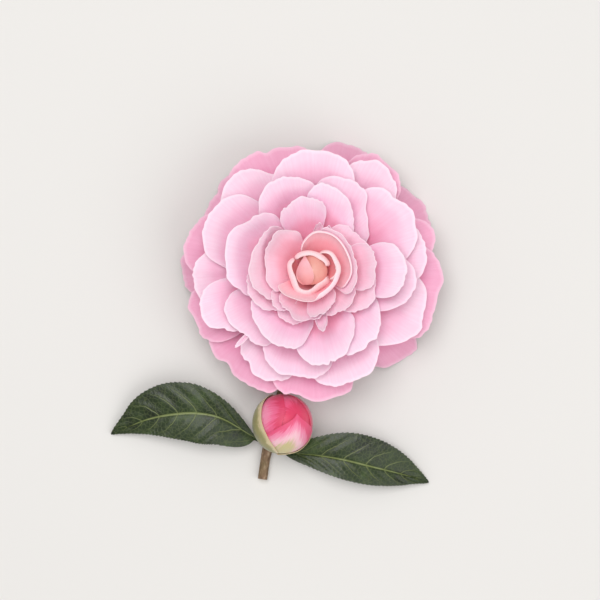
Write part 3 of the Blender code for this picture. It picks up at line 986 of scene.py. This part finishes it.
PETALS = (
    Petal("guard_petal_02", 76, 21, 47.2, 0.34, 0.30, 2.4, droop=9.2,
        outline=((64, 45.9), (73, 47.4), (79, 47.1), (83, 45.6), (86, 42.7), (91, 38.0))),
    Petal("guard_petal_04", 28, 22, 46.2, droop=10.2,
        outline=((24, 45.5), (32, 46.7), (38, 45.2), (41, 45.3), (45, 43.7))),
    Petal("guard_petal_06", 315, 20, 46.8, 0.32, 0.34, 2.4, droop=9.7,
        outline=((303, 40.4), (308, 43.2), (312, 44.5), (321, 46.4), (325, 46.0), (328, 43.2),
                 (331, 42.0))),
    Petal("guard_petal_08", 232, 26, 45.8, 0.28, 0.30, 2.8,
        outline=((218, 44.8), (223, 45.6), (227, 44.6), (233, 46.1), (243, 45.9), (252, 44.9))),
    Petal("guard_petal_10", 183, 17, 46.2, 0.30, 0.30, 2.4, droop=6.0,
        outline=((172, 45.6), (180, 46.2), (187, 45.3), (191, 43.3), (195, 42.5))),
    Petal("guard_petal_12", 142, 22, 45.4, 0.30, 0.30, 2.4, droop=10.7,
        outline=((132, 45.8), (137, 45.4), (140, 44.1), (147, 43.8), (153, 43.3))),
    Petal("guard_petal_01", 110, 25, 45.4,
        outline=((96, 44.0), (102, 44.6), (108, 45.4), (112, 44.7), (114, 46.1), (118, 46.4),
                 (124, 45.8), (131, 44.4))),
    Petal("guard_petal_03", 56, 18, 46.4,
        outline=((46, 44.4), (55, 46.4), (61, 47.0), (64, 46.0), (67, 44.5))),
    Petal("guard_petal_05", 350, 26, 46.6, 0.30, 0.26, 2.8,
        outline=((328, 44.7), (332, 45.7), (341, 45.3), (352, 45.6), (357, 46.6), (360, 46.2),
                 (366, 44.3), (369, 43.0))),
    Petal("guard_petal_07", 271, 25, 46.4, 0.28, 0.32, 2.8,
        outline=((257, 44.8), (261, 44.0), (265, 44.7), (274, 46.3), (279, 45.3), (286, 44.9),
                 (289, 43.6), (291, 41.5), (294, 41.0))),
    Petal("guard_petal_09", 203, 18, 45.2, 0.30, 0.30, 2.4,
        outline=((196, 45.4), (203, 44.8), (210, 45.5))),
    Petal("guard_petal_11", 165, 20, 46.2, 0.30, 0.30, 2.4,
        outline=((159, 44.4), (166, 45.6), (171, 46.0), (176, 44.8))),
    Petal("guard_petal_13", 17, 13, 45.2, 0.30, 0.30, 2.4, droop=2.0, level=1.5,
        outline=((12, 44.3), (18, 45.2), (21, 44.8))),
    Petal("outer_petal_03", 334, 27, 42.4, 0.30, 0.26, 2.6,
        outline=((313, 36.0), (317, 38.5), (324, 41.6), (331, 43.6), (335, 42.9), (340, 41.9),
                 (349, 41.2), (352, 40.2))),
    Petal("outer_petal_05", 243, 21, 42.8, 0.34, 0.24, 2.6,
        outline=((224, 33.4), (228, 37.9), (232, 39.1), (236, 39.6), (238, 41.1), (245, 42.4),
                 (252, 40.9), (258, 38.6))),
    Petal("outer_petal_01", 127, 24, 42.6,
        outline=((113, 37.0), (119, 40.8), (122, 42.4), (130, 43.6), (138, 42.2))),
    Petal("outer_petal_08", 56, 19, 44.4, 0.34, 0.34, 2.4,
        outline=((45, 42.2), (48, 43.2), (54, 44.9), (60, 44.9), (63, 43.5))),
    Petal("outer_petal_07", 183, 18, 42.0, 0.30, 0.34, 2.4,
        outline=((173, 39.7), (177, 41.4), (190, 41.7), (194, 40.7))),
    Petal("outer_petal_02", 11, 21, 40.8, 0.30, 0.34),
    Petal("outer_petal_04", 291, 24, 42.2, 0.26, 0.28,
        outline=((274, 39.9), (282, 41.8), (290, 41.6), (300, 41.4), (304, 40.1), (308, 37.8),
                 (312, 35.1))),
    Petal("outer_petal_06", 203, 18, 41.8, 0.26, 0.30, 2.4,
        outline=((196, 41.2), (201, 42.0), (208, 41.6), (211, 39.8), (213, 37.6), (217, 35.7))),
    Petal("outer_petal_09", 90, 27, 43.2, 0.22, 0.30,
        outline=((75, 41.2), (90, 42.5), (95, 42.6), (102, 41.0), (108, 39.0), (113, 35.6))),
    Petal("broad_petal_01", 31, 27, 41.0, 0.24, 0.26, 2.6,
        outline=((8, 33.7), (14, 37.6), (24, 39.9), (32, 41.2), (37, 40.0), (40, 38.8), (46, 38.7),
                 (54, 36.4))),
    Petal("broad_petal_05", 153, 28, 41.8, 0.26, 0.26, 2.4,
        outline=((128, 30.6), (132, 35.8), (140, 39.7), (151, 41.3), (155, 41.5), (164, 40.2),
                 (173, 36.5), (178, 30.9))),
    Petal("broad_petal_03", 260, 25, 38.2, 0.24, 0.24,
        outline=((237, 31.9), (244, 36.1), (253, 38.3), (261, 37.6), (270, 38.1), (277, 36.6),
                 (282, 33.5))),
    Petal("broad_petal_06", 58, 30, 34.2, 0.24, 0.10,
        outline=((29, 22.1), (42, 26.3), (50, 29.6), (54, 33.0), (60, 34.3), (72, 34.4), (84, 32.5))),
    Petal("broad_petal_02", 355, 28, 37.4, 0.24, 0.24, 2.4,
        outline=((330, 28.6), (337, 33.0), (347, 36.2), (355, 36.9), (362, 35.5), (367, 33.3),
                 (373, 31.3), (381, 26.6))),
    Petal("broad_petal_04", 218, 24, 35.8, 0.26, 0.28,
        outline=((206, 34.2), (217, 34.2), (223, 32.9), (228, 32.9), (239, 30.8))),
    Petal("broad_petal_07", 110, 25, 34.2, 0.26, 0.26,
        outline=((91, 31.3), (100, 33.3), (106, 34.1), (119, 34.0), (125, 31.9), (131, 28.7))),
    Petal("middle_petal_01", 314, 25, 32.8, 0.24, 0.30,
        outline=((292, 32.3), (297, 33.1), (305, 32.9), (309, 32.2), (312, 32.7), (321, 30.8),
                 (327, 29.0), (332, 26.6), (336, 24.8))),
    Petal("middle_petal_05", 67, 28, 30.4, 0.30, 0.12,
        outline=((44, 20.3), (53, 23.7), (57, 25.7), (63, 27.8), (73, 30.1), (78, 30.8), (86, 30.4))),
    Petal("middle_petal_06", 0, 23, 28.2, 0.30, 0.30, 2.5,
        outline=((343, 25.8), (350, 27.9), (356, 28.3), (360, 27.7), (372, 25.4))),
    Petal("middle_petal_02", 284, 28, 33.8, 0.22, 0.24, notches=((-0.08, 1.6, 0.03),),
        outline=((259, 28.4), (266, 32.2), (276, 33.5), (281, 33.7), (286, 32.8), (293, 31.4),
                 (298, 28.9), (304, 26.3), (309, 23.5))),
    Petal("middle_petal_03", 163, 40, 30.8, 0.24, 0.24,
        outline=((127, 25.2), (137, 28.1), (144, 28.5), (148, 30.2), (157, 31.7), (176, 30.8),
                 (188, 29.6), (198, 25.5), (202, 24.0))),
    Petal("middle_petal_04", 238, 33, 28.9, 0.24, 0.26,
        outline=((206, 23.5), (213, 25.6), (228, 28.0), (241, 29.5), (254, 28.6), (264, 25.2),
                 (268, 21.2))),
    Petal("middle_petal_07", 100, 24, 24.8, 0.26, 0.24, 2.8,
        outline=((82, 24.4), (90, 25.2), (96, 25.7), (104, 25.6), (110, 24.8), (120, 22.6))),
    Petal("inner_petal_01", 334, 30, 22.9, 0.26, 0.26,
        outline=((308, 18.3), (319, 21.6), (326, 23.1), (336, 24.0), (346, 23.0))),
    Petal("inner_petal_03", 40, 28, 20.3, outline=((24, 21.8), (32, 20.9), (43, 20.0))),
    Petal("inner_petal_04", 202, 28, 22.5, 0.24, 0.30,
        outline=((185, 23.2), (205, 23.3), (212, 23.3), (219, 22.2), (225, 20.3))),
    Petal("inner_petal_02", 4, 28, 20.6, 0.26, 0.26,
        outline=((337, 18.3), (345, 20.4), (351, 21.0), (367, 21.0))),
    Petal("inner_petal_05", 172, 46, 21.8, 0.26, 0.26, 2.8,
        outline=((134, 20.6), (147, 21.6), (161, 22.1), (174, 22.2), (190, 21.6), (205, 20.2),
                 (214, 18.6))),
    Petal("cup_petal_01", 312, 34, 17.8, ruffle=0.3),
    Petal("cup_petal_03", 160, 52, 17.1, 0.20, 0.20, 2.8, ruffle=0.3,
        outline=((117, 15.4), (129, 17.9), (146, 18.4), (159, 17.7), (175, 16.2), (190, 16.1),
                 (207, 15.3))),
    Petal("cup_petal_02", 256, 40, 17.2, 0.30, 0.26, 2.8, ruffle=0.3,
        outline=((230, 16.4), (242, 17.2), (251, 18.3), (258, 18.2), (265, 17.3))),
    Petal("small_petal_01", 243, 22, 20.4, 0.40, 0.36, 2.2, ruffle=0.3, level=9.2),
    Petal("small_petal_02", 224, 20, 18.4, 0.40, 0.36, 2.2, ruffle=0.3, level=10.4),
    Petal("small_petal_03", 290, 28, 15.6, 0.26, 0.30, 2.6, ruffle=0.2, level=11.6,
        outline=((266, 16.0), (278, 15.9), (291, 15.1), (300, 13.9), (314, 11.8))),
    Petal("small_petal_04", 280, 8, 22.6, 0.34, 0.34, 1.3, ruffle=0.3, lip=-0.6, level=9.8),
    Petal("small_petal_05", 81, 9, 17.6, 0.40, 0.40, 1.2, ruffle=0.3, lip=-0.4, level=9.8),
    Petal("small_petal_06", 69, 11, 17.0, 0.40, 0.40, 1.3, ruffle=0.3, lip=-0.4, level=10.2),
    Petal("small_petal_07", 225, 1.4, 38.6, 0.10, 0.10, 1.4, ruffle=0.1, lip=-0.8, level=4.6),
    Petal("small_petal_08", 22, 58, 14.8, 0.24, 0.20, 3.0, ruffle=0.2, lip=0.0, level=11.3,
        outline=((-30, 15.6), (-3, 15.8), (28, 15.7), (45, 15.9), (57, 15.9), (76, 15.0))),
    Petal("hood_petal_01", 45, 76, 13.6, 0.22, 0.20, 4.0, **PLAIN, roll=(0.62, 120),
        outline=((-30, 14.9), (-22, 14.4), (-3, 14.4), (10, 14.2), (28, 14.1), (45, 14.4), (57, 14.6),
                 (72, 14.4), (84, 14.0), (104, 11.8), (121, 10.2))),
    Petal("hood_petal_02", 286, 82, 12.2, 0.10, 0.20, 4.0, **PLAIN, roll=(0.85, 165), roll_span=(-0.10, 1.3),
        outline=((204, 15.4), (217, 14.1), (237, 12.2), (254, 11.5), (270, 11.1), (286, 11.2),
                 (302, 10.7), (322, 10.6), (343, 10.9), (362, 11.5), (368, 11.4))),
    Petal("curl_petal_01", 20, 48, 10.0, 0.20, 0.20, 3.0, lap=12.0, **PLAIN, roll=(0.80, 190),
        outline=((-27, 10.2), (-15, 10.1), (6, 10.0), (24, 9.6), (46, 9.6), (67, 9.0))),
    Petal("curl_petal_02", 244, 97, 8.7, 0.12, 0.12, 5.0, **PLAIN, roll=(1.52, 188), swell=0.24,
        outline=((149, 9.5), (163, 9.6), (182, 8.9), (202, 8.6), (220, 9.2), (232, 9.8), (257, 9.4),
                 (280, 7.9), (305, 7.4), (325, 8.1), (340, 7.4))),
    Petal("curl_petal_03", 80, 66, 7.2, 0.16, 0.16, 4.0, **PLAIN, roll=(0.96, 190), swell=-0.18,
        outline=((16, 7.7), (34, 6.9), (71, 6.5), (101, 7.0), (128, 8.0), (143, 8.8))),
)


# --- the heart -----------------------------------------------------------------------------------


@dataclass(frozen=True)
class Heart:
    """The last petals, still folded over each other into a low dome at the middle of the flower.

    Shallow folds turn round the dome, and one pointed petal lies across it from its tail to its tip.
    """

    height: float = 7.2
    widest: float = 5.1
    neck: float = 1.5
    fold: float = 0.16
    tip: tuple[float, float] = (-2.5, 4.9)
    tail: tuple[float, float] = (-2.1, -4.9)
    bow: float = 0.35
    tongue_half: float = 2.9
    tongue_gap: float = 0.42
    thickness: float = 0.34

    def crown(self, radius: np.ndarray) -> np.ndarray:
        """How high the top of the dome is at this distance from the axis."""
        part = np.clip(radius / (self.widest * 1.06), 0.0, 0.999)
        return HEART_SEAT + self.height * (0.52 + 0.48 * np.sqrt(1.0 - part**2.4))

    def dome(self, v: np.ndarray, s: np.ndarray) -> np.ndarray:
        """Places the dome's vertices.

        Args:
            v: The place round it, from -1 to 1.
            s: The place from its foot to its top, from 0 to 1.

        Returns:
            The points.
        """
        angle = v * np.pi
        swell = np.sin(np.pi * np.clip(s, 0.0, 1.0) ** 0.62)
        radius = (self.neck * (1.0 - s) + self.widest * swell**0.9) * np.where(s > 0.999, 0.0, 1.0)
        fold = self.fold * np.sin(3.0 * angle + 5.0 * s) * np.sin(np.pi * s)
        return around(np.minimum(radius, self.widest) + fold, angle, HEART_SEAT + self.height * s**1.15)

    def tongue(self, v: np.ndarray, s: np.ndarray) -> np.ndarray:
        """Places the vertices of the pointed petal.

        Args:
            v: The place across it, from -1 to 1.
            s: The place from its tail to its tip, from 0 to 1.

        Returns:
            The points.
        """
        tip, tail = np.array(self.tip), np.array(self.tail)
        along = (tip - tail) / np.linalg.norm(tip - tail)
        side = np.array((-along[1], along[0]))
        half = np.maximum(self.tongue_half * np.sin(np.pi * (0.02 + 0.98 * s) ** 0.62) ** 0.9, 0.06)
        off = self.bow * np.sin(np.pi * s) + v * half
        flat = tail[None, :] + (tip - tail)[None, :] * s[:, None] + side[None, :] * off[:, None]
        lift = self.tongue_gap - 0.9 * np.abs(v) ** 2.2 * (1.0 - s) + 0.35 * smooth((s - 0.75) / 0.25)
        return np.column_stack((flat, self.crown(np.hypot(flat[:, 0], flat[:, 1])) + lift))

    def build(self, finish: bpy.types.Material, tongue: bpy.types.Material) -> None:
        """Builds the dome and the pointed petal."""
        Sheet("heart_core", (64, 40), self.dome, finish, Slot.HEART, ("heart_bud",)).build()
        place, nodes, wall = self.tongue, ("heart_petal_01",), self.thickness
        Sheet("heart_tongue", (28, 40), place, tongue, Slot.HEART, nodes, wall, 0.8).build()


# --- the calyx, twig, bud and leaves -------------------------------------------------------------


@dataclass(frozen=True)
class Calyx:
    """Rounded scales that lie under the guard petals, one for each sepal."""

    foot: tuple[float, float] = (5.35, 10.7)
    reach: float = 14.0
    rise: tuple[float, float] = (22.0, 17.0)
    azimuths: tuple[float, ...] = (30.0, 150.0, 270.0)
    half: float = 55.0
    fall: float = 0.42
    lip: float = 0.35
    ruffle: float = 0.12
    thickness: float = 0.45
    push: BudPush = field(default_factory=BudPush)

    def place(self, azimuth: float) -> Place:
        """Finds how a scale lies.

        Args:
            azimuth: The direction that it points in.

        Returns:
            The function that puts each vertex in its place.
        """

        def put(v: np.ndarray, s: np.ndarray) -> np.ndarray:
            """Places the scale's vertices."""
            u = np.sin(v * np.pi / 2.0)
            out = (self.reach * rounded(u, self.fall, 2.2) - self.foot[0]) * s
            slope = np.radians(self.rise[0] + (self.rise[1] - self.rise[0]) * s)
            turn = azimuth + self.half * u
            height = self.foot[1] + out * np.tan(slope) + self.push.at(turn, self.foot[0] + out)
            height = height - self.lip * smooth((s - 0.7) / 0.3) + self.ruffle * np.sin(9.0 * u) * s
            return around(self.foot[0] + out, np.radians(turn), height)

        return put

    def build(self, finish: bpy.types.Material) -> None:
        """Builds every scale.

        Args:
            finish: The sepal material.
        """
        for number, azimuth in enumerate(self.azimuths, 1):
            name, nodes = f"calyx_scale_{number:02d}", (f"calyx_sepal_{number:02d}",)
            place, wall = self.place(azimuth), self.thickness
            Sheet(name, (40, 20), place, finish, Slot.SEPAL, nodes, wall, 0.5).build()


@dataclass(frozen=True)
class Twig:
    """The cut twig and the receptacle that it swells into, with a node where the leaves spring.

    path holds x, y, z and the radius. A knob is a distance along it, a share of the radius and a width.
    """

    path: tuple[tuple[float, float, float, float], ...] = (
        (-17.6, -74.0, 1.75, 1.75),
        (-16.6, -67.0, 1.72, 1.72),
        (-15.2, -60.5, 2.05, 2.05),
        (-13.6, -54.0, 1.62, 1.60),
        (-10.6, -42.0, 1.62, 1.56),
        (-7.2, -28.0, 1.62, 1.54),
        (-3.8, -14.0, 1.80, 1.56),
        (-1.4, -5.2, 2.60, 1.60),
        (-0.2, -1.3, 4.60, 1.75),
        (0.0, 0.0, 7.40, 2.20),
        (0.0, 0.0, 9.20, 3.60),
        (0.0, 0.0, 10.7, 4.93),
        (0.0, 0.0, 13.0, 5.68),
        (0.0, 0.0, 17.75, 4.23),
        (0.0, 0.0, 22.5, 2.78),
        (0.0, 0.0, 27.4, 1.28),
    )
    cells: tuple[int, int] = (36, 220)
    knobs: tuple[tuple[float, float, float], ...] = ((13.6, 0.10, 1.6), (30.0, 0.05, 1.2))
    roughness: float = 0.025
    clearance: float = 0.03
    flesh_from: float = 12.0

    def centre(self, s: np.ndarray) -> np.ndarray:
        """The path at these shares of its length."""
        marks = self.marks()
        return np.stack([np.interp(s * marks[-1], marks, row) for row in np.array(self.path).T], axis=1)

    def marks(self) -> np.ndarray:
        """How far along the path each of its points is."""
        gaps = np.linalg.norm(np.diff(np.array(self.path)[:, :3], axis=0), axis=1)
        return np.concatenate(([0.0], np.cumsum(gaps)))

    def place(self, v: np.ndarray, s: np.ndarray) -> np.ndarray:
        """Places the twig's vertices.

        Args:
            v: The place round it, from -1 to 1.
            s: The place from its cut end to the heart, from 0 to 1.

        Returns:
            The points.
        """
        here = self.centre(s)
        ahead = (self.centre(np.minimum(s + 0.012, 1.0)) - self.centre(np.maximum(s - 0.012, 0.0)))[:, :3]
        ahead /= np.linalg.norm(ahead, axis=1)[:, None]
        side = np.cross(ahead, np.array((1.0, 0.25, 0.0)))
        side /= np.linalg.norm(side, axis=1)[:, None]
        up = np.cross(side, ahead)
        angle = v * np.pi
        distance = s * self.marks()[-1]
        knob = sum((share * bell(distance, middle, width) for middle, share, width in self.knobs), 1.0)
        bumps = 1.0 + np.sin(7.0 * angle + distance * 0.8) * np.sin(distance * 1.9)
        radius = np.minimum(here[:, 3] * knob * (1.0 - self.roughness * bumps), here[:, 2] - self.clearance)
        out = side * (radius * np.cos(angle))[:, None] + up * (radius * np.sin(angle))[:, None]
        return here[:, :3] + out

    def build(self, bark: bpy.types.Material, wood: bpy.types.Material, flesh: bpy.types.Material) -> None:
        """Builds the twig as one closed tube.

        Args:
            bark: The bark material.
            wood: The material of the cut end.
            flesh: The material of the receptacle, inside the flower.
        """
        piece = Sheet("twig_bark", self.cells, self.place, bark, Slot.BARK, ("twig",)).build()
        piece.data.materials.append(wood)
        piece.data.materials.append(flesh)
        for face in piece.data.polygons:
            if len(face.vertices) > 4:
                face.material_index = 1
            elif face.center.z > ORIGIN.z + self.flesh_from * MM:
                face.material_index = 2


@dataclass(frozen=True)
class Bud:
    """The closed bud: petals wrapped over each other round a ball, under two scales.

    Each wrap and scale has a name, an azimuth in the bud's own frame, half of the angle that it goes
    round, and the angle from the foot that it reaches up to. A wrap also has how far it stands proud
    of the ball and how far its tip turns sideways.
    """

    centre: tuple[float, float, float] = (-10.1, -53.5, 13.9)
    axis: tuple[float, float, float] = (0.42, 0.40, 0.815)
    radius: float = 10.4
    tip: float = 11.1
    core_depth: float = 0.45
    stalk: tuple[float, float] = (1.25, 11.5)
    stalk_share: float = 0.13
    wrap_foot: float = 14.0
    wrap_thickness: float = 0.26
    scale_foot: float = 20.0
    scale_gap: float = 0.16
    scale_thickness: float = 0.45
    wraps: tuple[tuple[str, float, float, float, float, float], ...] = (
        ("bud_wrap_01", 245.0, 72.0, 150.0, -0.28, 10.0),
        ("bud_wrap_02", 48.0, 70.0, 158.0, -0.16, -12.0),
        ("bud_wrap_03", 126.0, 58.0, 176.0, 0.10, 16.0),
    )
    scales: tuple[tuple[str, float, float, float], ...] = (
        ("bud_sepal_01", 45.0, 80.0, 110.0),
        ("bud_sepal_02", 190.0, 60.0, 92.0),
    )

    def out(self, points: np.ndarray) -> np.ndarray:
        """Turns points from the bud's own frame, its tip along +Z, to the flower's."""
        turned = Vector(self.axis).normalized().to_track_quat("Z", "Y").to_matrix()
        return points @ np.array(turned).T + np.array(self.centre)

    def ball(self, polar: np.ndarray, turn: np.ndarray, proud: np.ndarray | float) -> np.ndarray:
        """Points on the bud.

        Args:
            polar: The angle from the foot of the bud towards its tip, in radians.
            turn: The angle round it, in radians.
            proud: How far the points stand out.

        Returns:
            The points in the flower's frame.
        """
        rise = -np.cos(polar)
        height = rise * (np.where(rise < 0, self.radius, self.tip) + proud)
        return self.out(around((self.radius + proud) * np.sin(polar), turn, height))

    def core(self, v: np.ndarray, s: np.ndarray) -> np.ndarray:
        """Places the vertices of the stalk and the ball.

        Args:
            v: The place round them, from -1 to 1.
            s: The place from the foot of the stalk to the tip, from 0 to 1.

        Returns:
            The points.
        """
        radius, length = self.stalk
        polar = np.pi * np.clip((s - 0.12) / 0.88, 0.0, 1.0)
        height = -length + (length - self.radius + 0.6) * (s / self.stalk_share)
        rod = self.out(around(np.full_like(s, radius), v * np.pi, height))
        return np.where((s < self.stalk_share)[:, None], rod, self.ball(polar, v * np.pi, -self.core_depth))

    def wrap(self, azimuth: float, half: float, top: float, layer: float, lean: float) -> Place:
        """Finds how a petal lies that is folded tight against the ball.

        Args:
            azimuth: The direction of its middle.
            half: Half of the angle that it wraps round.
            top: How far up the ball it reaches.
            layer: How far it stands proud of the ball.
            lean: How far its tip turns sideways.

        Returns:
            The function that puts each vertex in its place.
        """

        def put(v: np.ndarray, s: np.ndarray) -> np.ndarray:
            """Places the petal's vertices."""
            u = np.sin(v * np.pi / 2.0)
            polar = self.wrap_foot + (top * rounded(u, 0.34, 2.0) - self.wrap_foot) * s
            proud = layer + 0.05 * np.sin(5.0 * u + azimuth) * s + 0.06 * smooth((s - 0.9) / 0.1)
            return self.ball(np.radians(polar), np.radians(azimuth + half * u + lean * s * s), proud)

        return put

    def scale(self, azimuth: float, half: float, top: float) -> Place:
        """Finds how a rounded scale lies that hugs the lower part of the bud.

        Args:
            azimuth: The direction of its middle.
            half: Half of the angle that it goes round.
            top: How far up the bud it reaches.

        Returns:
            The function that puts each vertex in its place.
        """
        layer = self.scale_gap + self.scale_thickness / 2.0

        def put(v: np.ndarray, s: np.ndarray) -> np.ndarray:
            """Places the scale's vertices."""
            u = np.sin(v * np.pi / 2.0)
            polar = self.scale_foot + (top - self.scale_foot) * s * rounded(u, 0.40, 2.2)
            proud = layer + 0.18 * smooth((s - 0.8) / 0.2) + 0.06 * np.sin(11.0 * u) * s
            return self.ball(np.radians(polar), np.radians(azimuth + half * u), proud)

        return put

    def build(self, face: bpy.types.Material, side: bpy.types.Material, sepal: bpy.types.Material) -> None:
        """Builds the bud.

        Args:
            face: The material of the last petal, which faces up.
            side: The material of the other petals.
            sepal: The material of the scales.
        """
        Sheet("bud_ball", (48, 60), self.core, side, Slot.BUD, ("bud",)).build()
        for (name, *lie), finish in zip(self.wraps, (side, side, face)):
            Sheet(name, (44, 36), self.wrap(*lie), finish, Slot.BUD, (), self.wrap_thickness, 0.7).build()
        for node, *lie in self.scales:
            place, wall = self.scale(*lie), self.scale_thickness
            Sheet(f"{node}_scale", (44, 32), place, sepal, Slot.SEPAL, (node,), wall, 0.45).build()


@dataclass(frozen=True)
class Leaf:
    """A pointed oval leaf with a fine saw edge, drawn along its midrib.

    midrib holds points from the twig to the tip, halves the half widths on its left and right, and
    fullness where each side is widest: under 1 it is nearer the stalk. stalk is the share of the
    length that is bare.
    """

    node: str
    midrib: tuple[tuple[float, float, float], ...]
    halves: tuple[float, float]
    fullness: tuple[float, float]
    petiole: float = 0.95
    stalk: float = 0.13
    fold: float = 0.16
    arch: float = 0.012
    groove: float = 0.22
    quilt: float = 0.12
    wave: float = 0.33
    thickness: float = 0.42
    teeth: int = 38
    tooth: float = 0.38

    def station(self, s: np.ndarray) -> np.ndarray:
        """Points on the midrib.

        Args:
            s: Shares of its length, from 0 to 1.

        Returns:
            The points.
        """
        stations = np.array(self.midrib)
        last = len(stations) - 1
        low = np.minimum((s * last).astype(int), last - 1)
        part = (s * last - low)[:, None]
        before, after = stations[np.maximum(low - 1, 0)], stations[np.minimum(low + 2, last)]
        a, b = stations[low], stations[low + 1]
        bend = ((b - before) / 2.0 * (1.0 - part) - (after - a) / 2.0 * part) * part * (1.0 - part)
        return a + (b - a) * smooth(part) + bend

    def place(self, v: np.ndarray, s: np.ndarray) -> np.ndarray:
        """Places the vertices of the blade and its stalk.

        Args:
            v: The place across the leaf, from -1 to 1.
            s: The place along it, from 0 to 1.

        Returns:
            The points.
        """
        ahead = self.station(np.minimum(s + 0.01, 1.0)) - self.station(np.maximum(s - 0.01, 0.0))
        side = np.stack((-ahead[:, 1], ahead[:, 0], np.zeros_like(s)), axis=1)
        side /= np.linalg.norm(side, axis=1)[:, None]
        blade = np.clip((s - self.stalk) / (1.0 - self.stalk), 0.0, 1.0)
        shape = np.maximum(0.0, np.sin(np.pi * blade ** np.where(v > 0, *self.fullness))) ** 1.1
        saw = ((blade * self.teeth) % 1.0 - 0.5) * smooth((blade - 0.06) / 0.1)
        half = np.where(v > 0, *self.halves) * shape + self.tooth * saw * smooth((1.0 - blade) / 0.06)
        across = v * np.maximum(half, np.where(s < 0.5, self.petiole, 0.12))
        # The blade swells a little between its side veins, and the midrib lies in a groove.
        swept = blade - VEIN_SWEEP * np.abs(v) ** VEIN_CURVE
        cushion = np.sin(np.pi * np.minimum(np.abs(v), 1.0))
        quilt = self.quilt * np.cos(2.0 * np.pi * swept * SIDE_VEINS) * cushion
        wave = self.wave * np.sin(blade * 9.0 + v) * np.abs(v) ** 2.0
        relief = (wave - quilt - self.groove * bell(v, 0.0, 0.06)) * smooth((blade - 0.03) / 0.15)
        points = self.station(s) + side * across[:, None]
        points[:, 2] += self.fold * np.abs(across) - self.arch * across**2 + relief
        return points

    def build(self, finish: bpy.types.Material) -> None:
        """Builds the leaf."""
        name = f"{self.node}_blade"
        Sheet(name, (44, 300), self.place, finish, Slot.LEAF, (self.node,), self.thickness).build()


LEAVES = (
    Leaf(
        "leaf_left",
        (
            (-17.8, -60.2, 2.6), (-20.6, -58.8, 4.6), (-31.5, -52.2, 7.6), (-40.5, -50.3, 7.9),
            (-49.2, -50.8, 6.9), (-57.6, -52.5, 5.0), (-64.8, -55.2, 2.6), (-71.6, -58.0, 0.9),
        ),
        (10.6, 11.4),
        (0.56, 1.0),
    ),
    Leaf(
        "leaf_right",
        (
            (-12.8, -61.6, 2.6), (-9.6, -64.2, 4.0), (1.0, -65.2, 6.2), (11.0, -66.8, 7.2),
            (20.5, -69.2, 6.3), (29.0, -71.4, 4.4), (36.0, -73.4, 2.3), (41.6, -75.2, 0.9),
        ),
        (10.4, 6.8),
        (0.86, 0.80),
    ),
)


# --- stage ---------------------------------------------------------------------------------------


@dataclass(frozen=True)
class Studio:
    """A pale floor, a large soft light overhead, a weaker one beside it and a camera that looks down.

    Its sizes are in metres, except the sensor's. aim is where the camera points, from the flower's
    axis, and lights holds a name, a place, a diameter and a power.
    """

    floor_size: float = 6.0
    sky: str = "#f4f3f2"
    sky_strength: float = 0.60
    lights: tuple[tuple[str, tuple[float, float, float], float, float], ...] = (
        ("key", (-0.14, 0.24, 1.00), 0.80, 6.2),
        ("fill", (0.60, -0.45, 0.80), 1.00, 3.6),
    )
    view_width: float = 0.2115
    camera_height: float = 0.75
    petal_plane: float = 0.010
    aim: tuple[float, float] = (-0.00423, -0.01022)
    sensor: float = 36.0
    clip: tuple[float, float] = (0.01, 20.0)

    def light(self) -> None:
        """Adds the floor, the sky and the lamps."""
        bpy.ops.object.select_all(action="DESELECT")
        bpy.ops.mesh.primitive_plane_add(size=self.floor_size, location=(0.0, 0.0, 0.0))
        floor = bpy.context.active_object
        floor.name = "floor"
        floor.data.materials.append(PaperFinish().make())
        world = bpy.data.worlds.new("studio")
        bpy.context.scene.world = world
        world.use_nodes = True
        sky = world.node_tree.nodes["Background"].inputs
        sky["Color"].default_value = linear(self.sky)
        sky["Strength"].default_value = self.sky_strength
        for name, place, size, power in self.lights:
            data = bpy.data.lights.new(name, "AREA")
            data.shape = "DISK"
            data.size = size
            data.energy = power
            lamp = bpy.data.objects.new(name, data)
            bpy.context.collection.objects.link(lamp)
            lamp.location = place
            lamp.rotation_euler = (-Vector(place)).to_track_quat("-Z", "Y").to_euler()

    def film(self) -> None:
        """Adds the camera, square above the flower."""
        data = bpy.data.cameras.new("camera")
        camera = bpy.data.objects.new("camera", data)
        bpy.context.collection.objects.link(camera)
        data.sensor_width = self.sensor
        data.lens = self.sensor * self.camera_height / self.view_width
        data.clip_start, data.clip_end = self.clip
        height = ORIGIN.z + self.petal_plane + self.camera_height
        camera.location = (ORIGIN.x + self.aim[0], ORIGIN.y + self.aim[1], height)
        camera.rotation_euler = (0.0, 0.0, 0.0)
        bpy.context.scene.camera = camera
        bpy.context.scene.view_settings.view_transform = "Standard"


def main() -> None:
    """Builds every piece in order."""
    logging.basicConfig(level=logging.INFO, format="%(message)s")
    outer, inner, core = OUTER_FINISH.make(), INNER_FINISH.make(), CORE_FINISH.make()
    sepal, green = SepalFinish().make(), LeafFinish().make()
    # Each row takes its own copy of the petal skin: darker on the guard row, partly painted shade, and paler
    # on the middle, inner and hood rows, partly painted light against the shade of the cup.
    rows = {
        "guard": GUARD_FINISH.make(),
        "outer": outer,
        "broad": outer,
        "middle": MIDDLE_FINISH.make(),
        "inner": inner,
        "cup": inner,
        "hood": HOOD_FINISH.make(),
        "small": FRINGE_FINISH.make(),
        "curl": HEART_FINISH.make(),
    }
    Flower().grow(PETALS, rows)
    Heart().build(core, TONGUE_FINISH.make())
    Calyx().build(sepal)
    Twig().build(BarkFinish().make(), CutWoodFinish().make(), core)
    Bud().build(BUD_FACE_FINISH.make(), BUD_SIDE_FINISH.make(), sepal)
    for leaf in LEAVES:
        leaf.build(green)
    Studio().light()
    Studio().film()


if __name__ == "__main__":
    main()
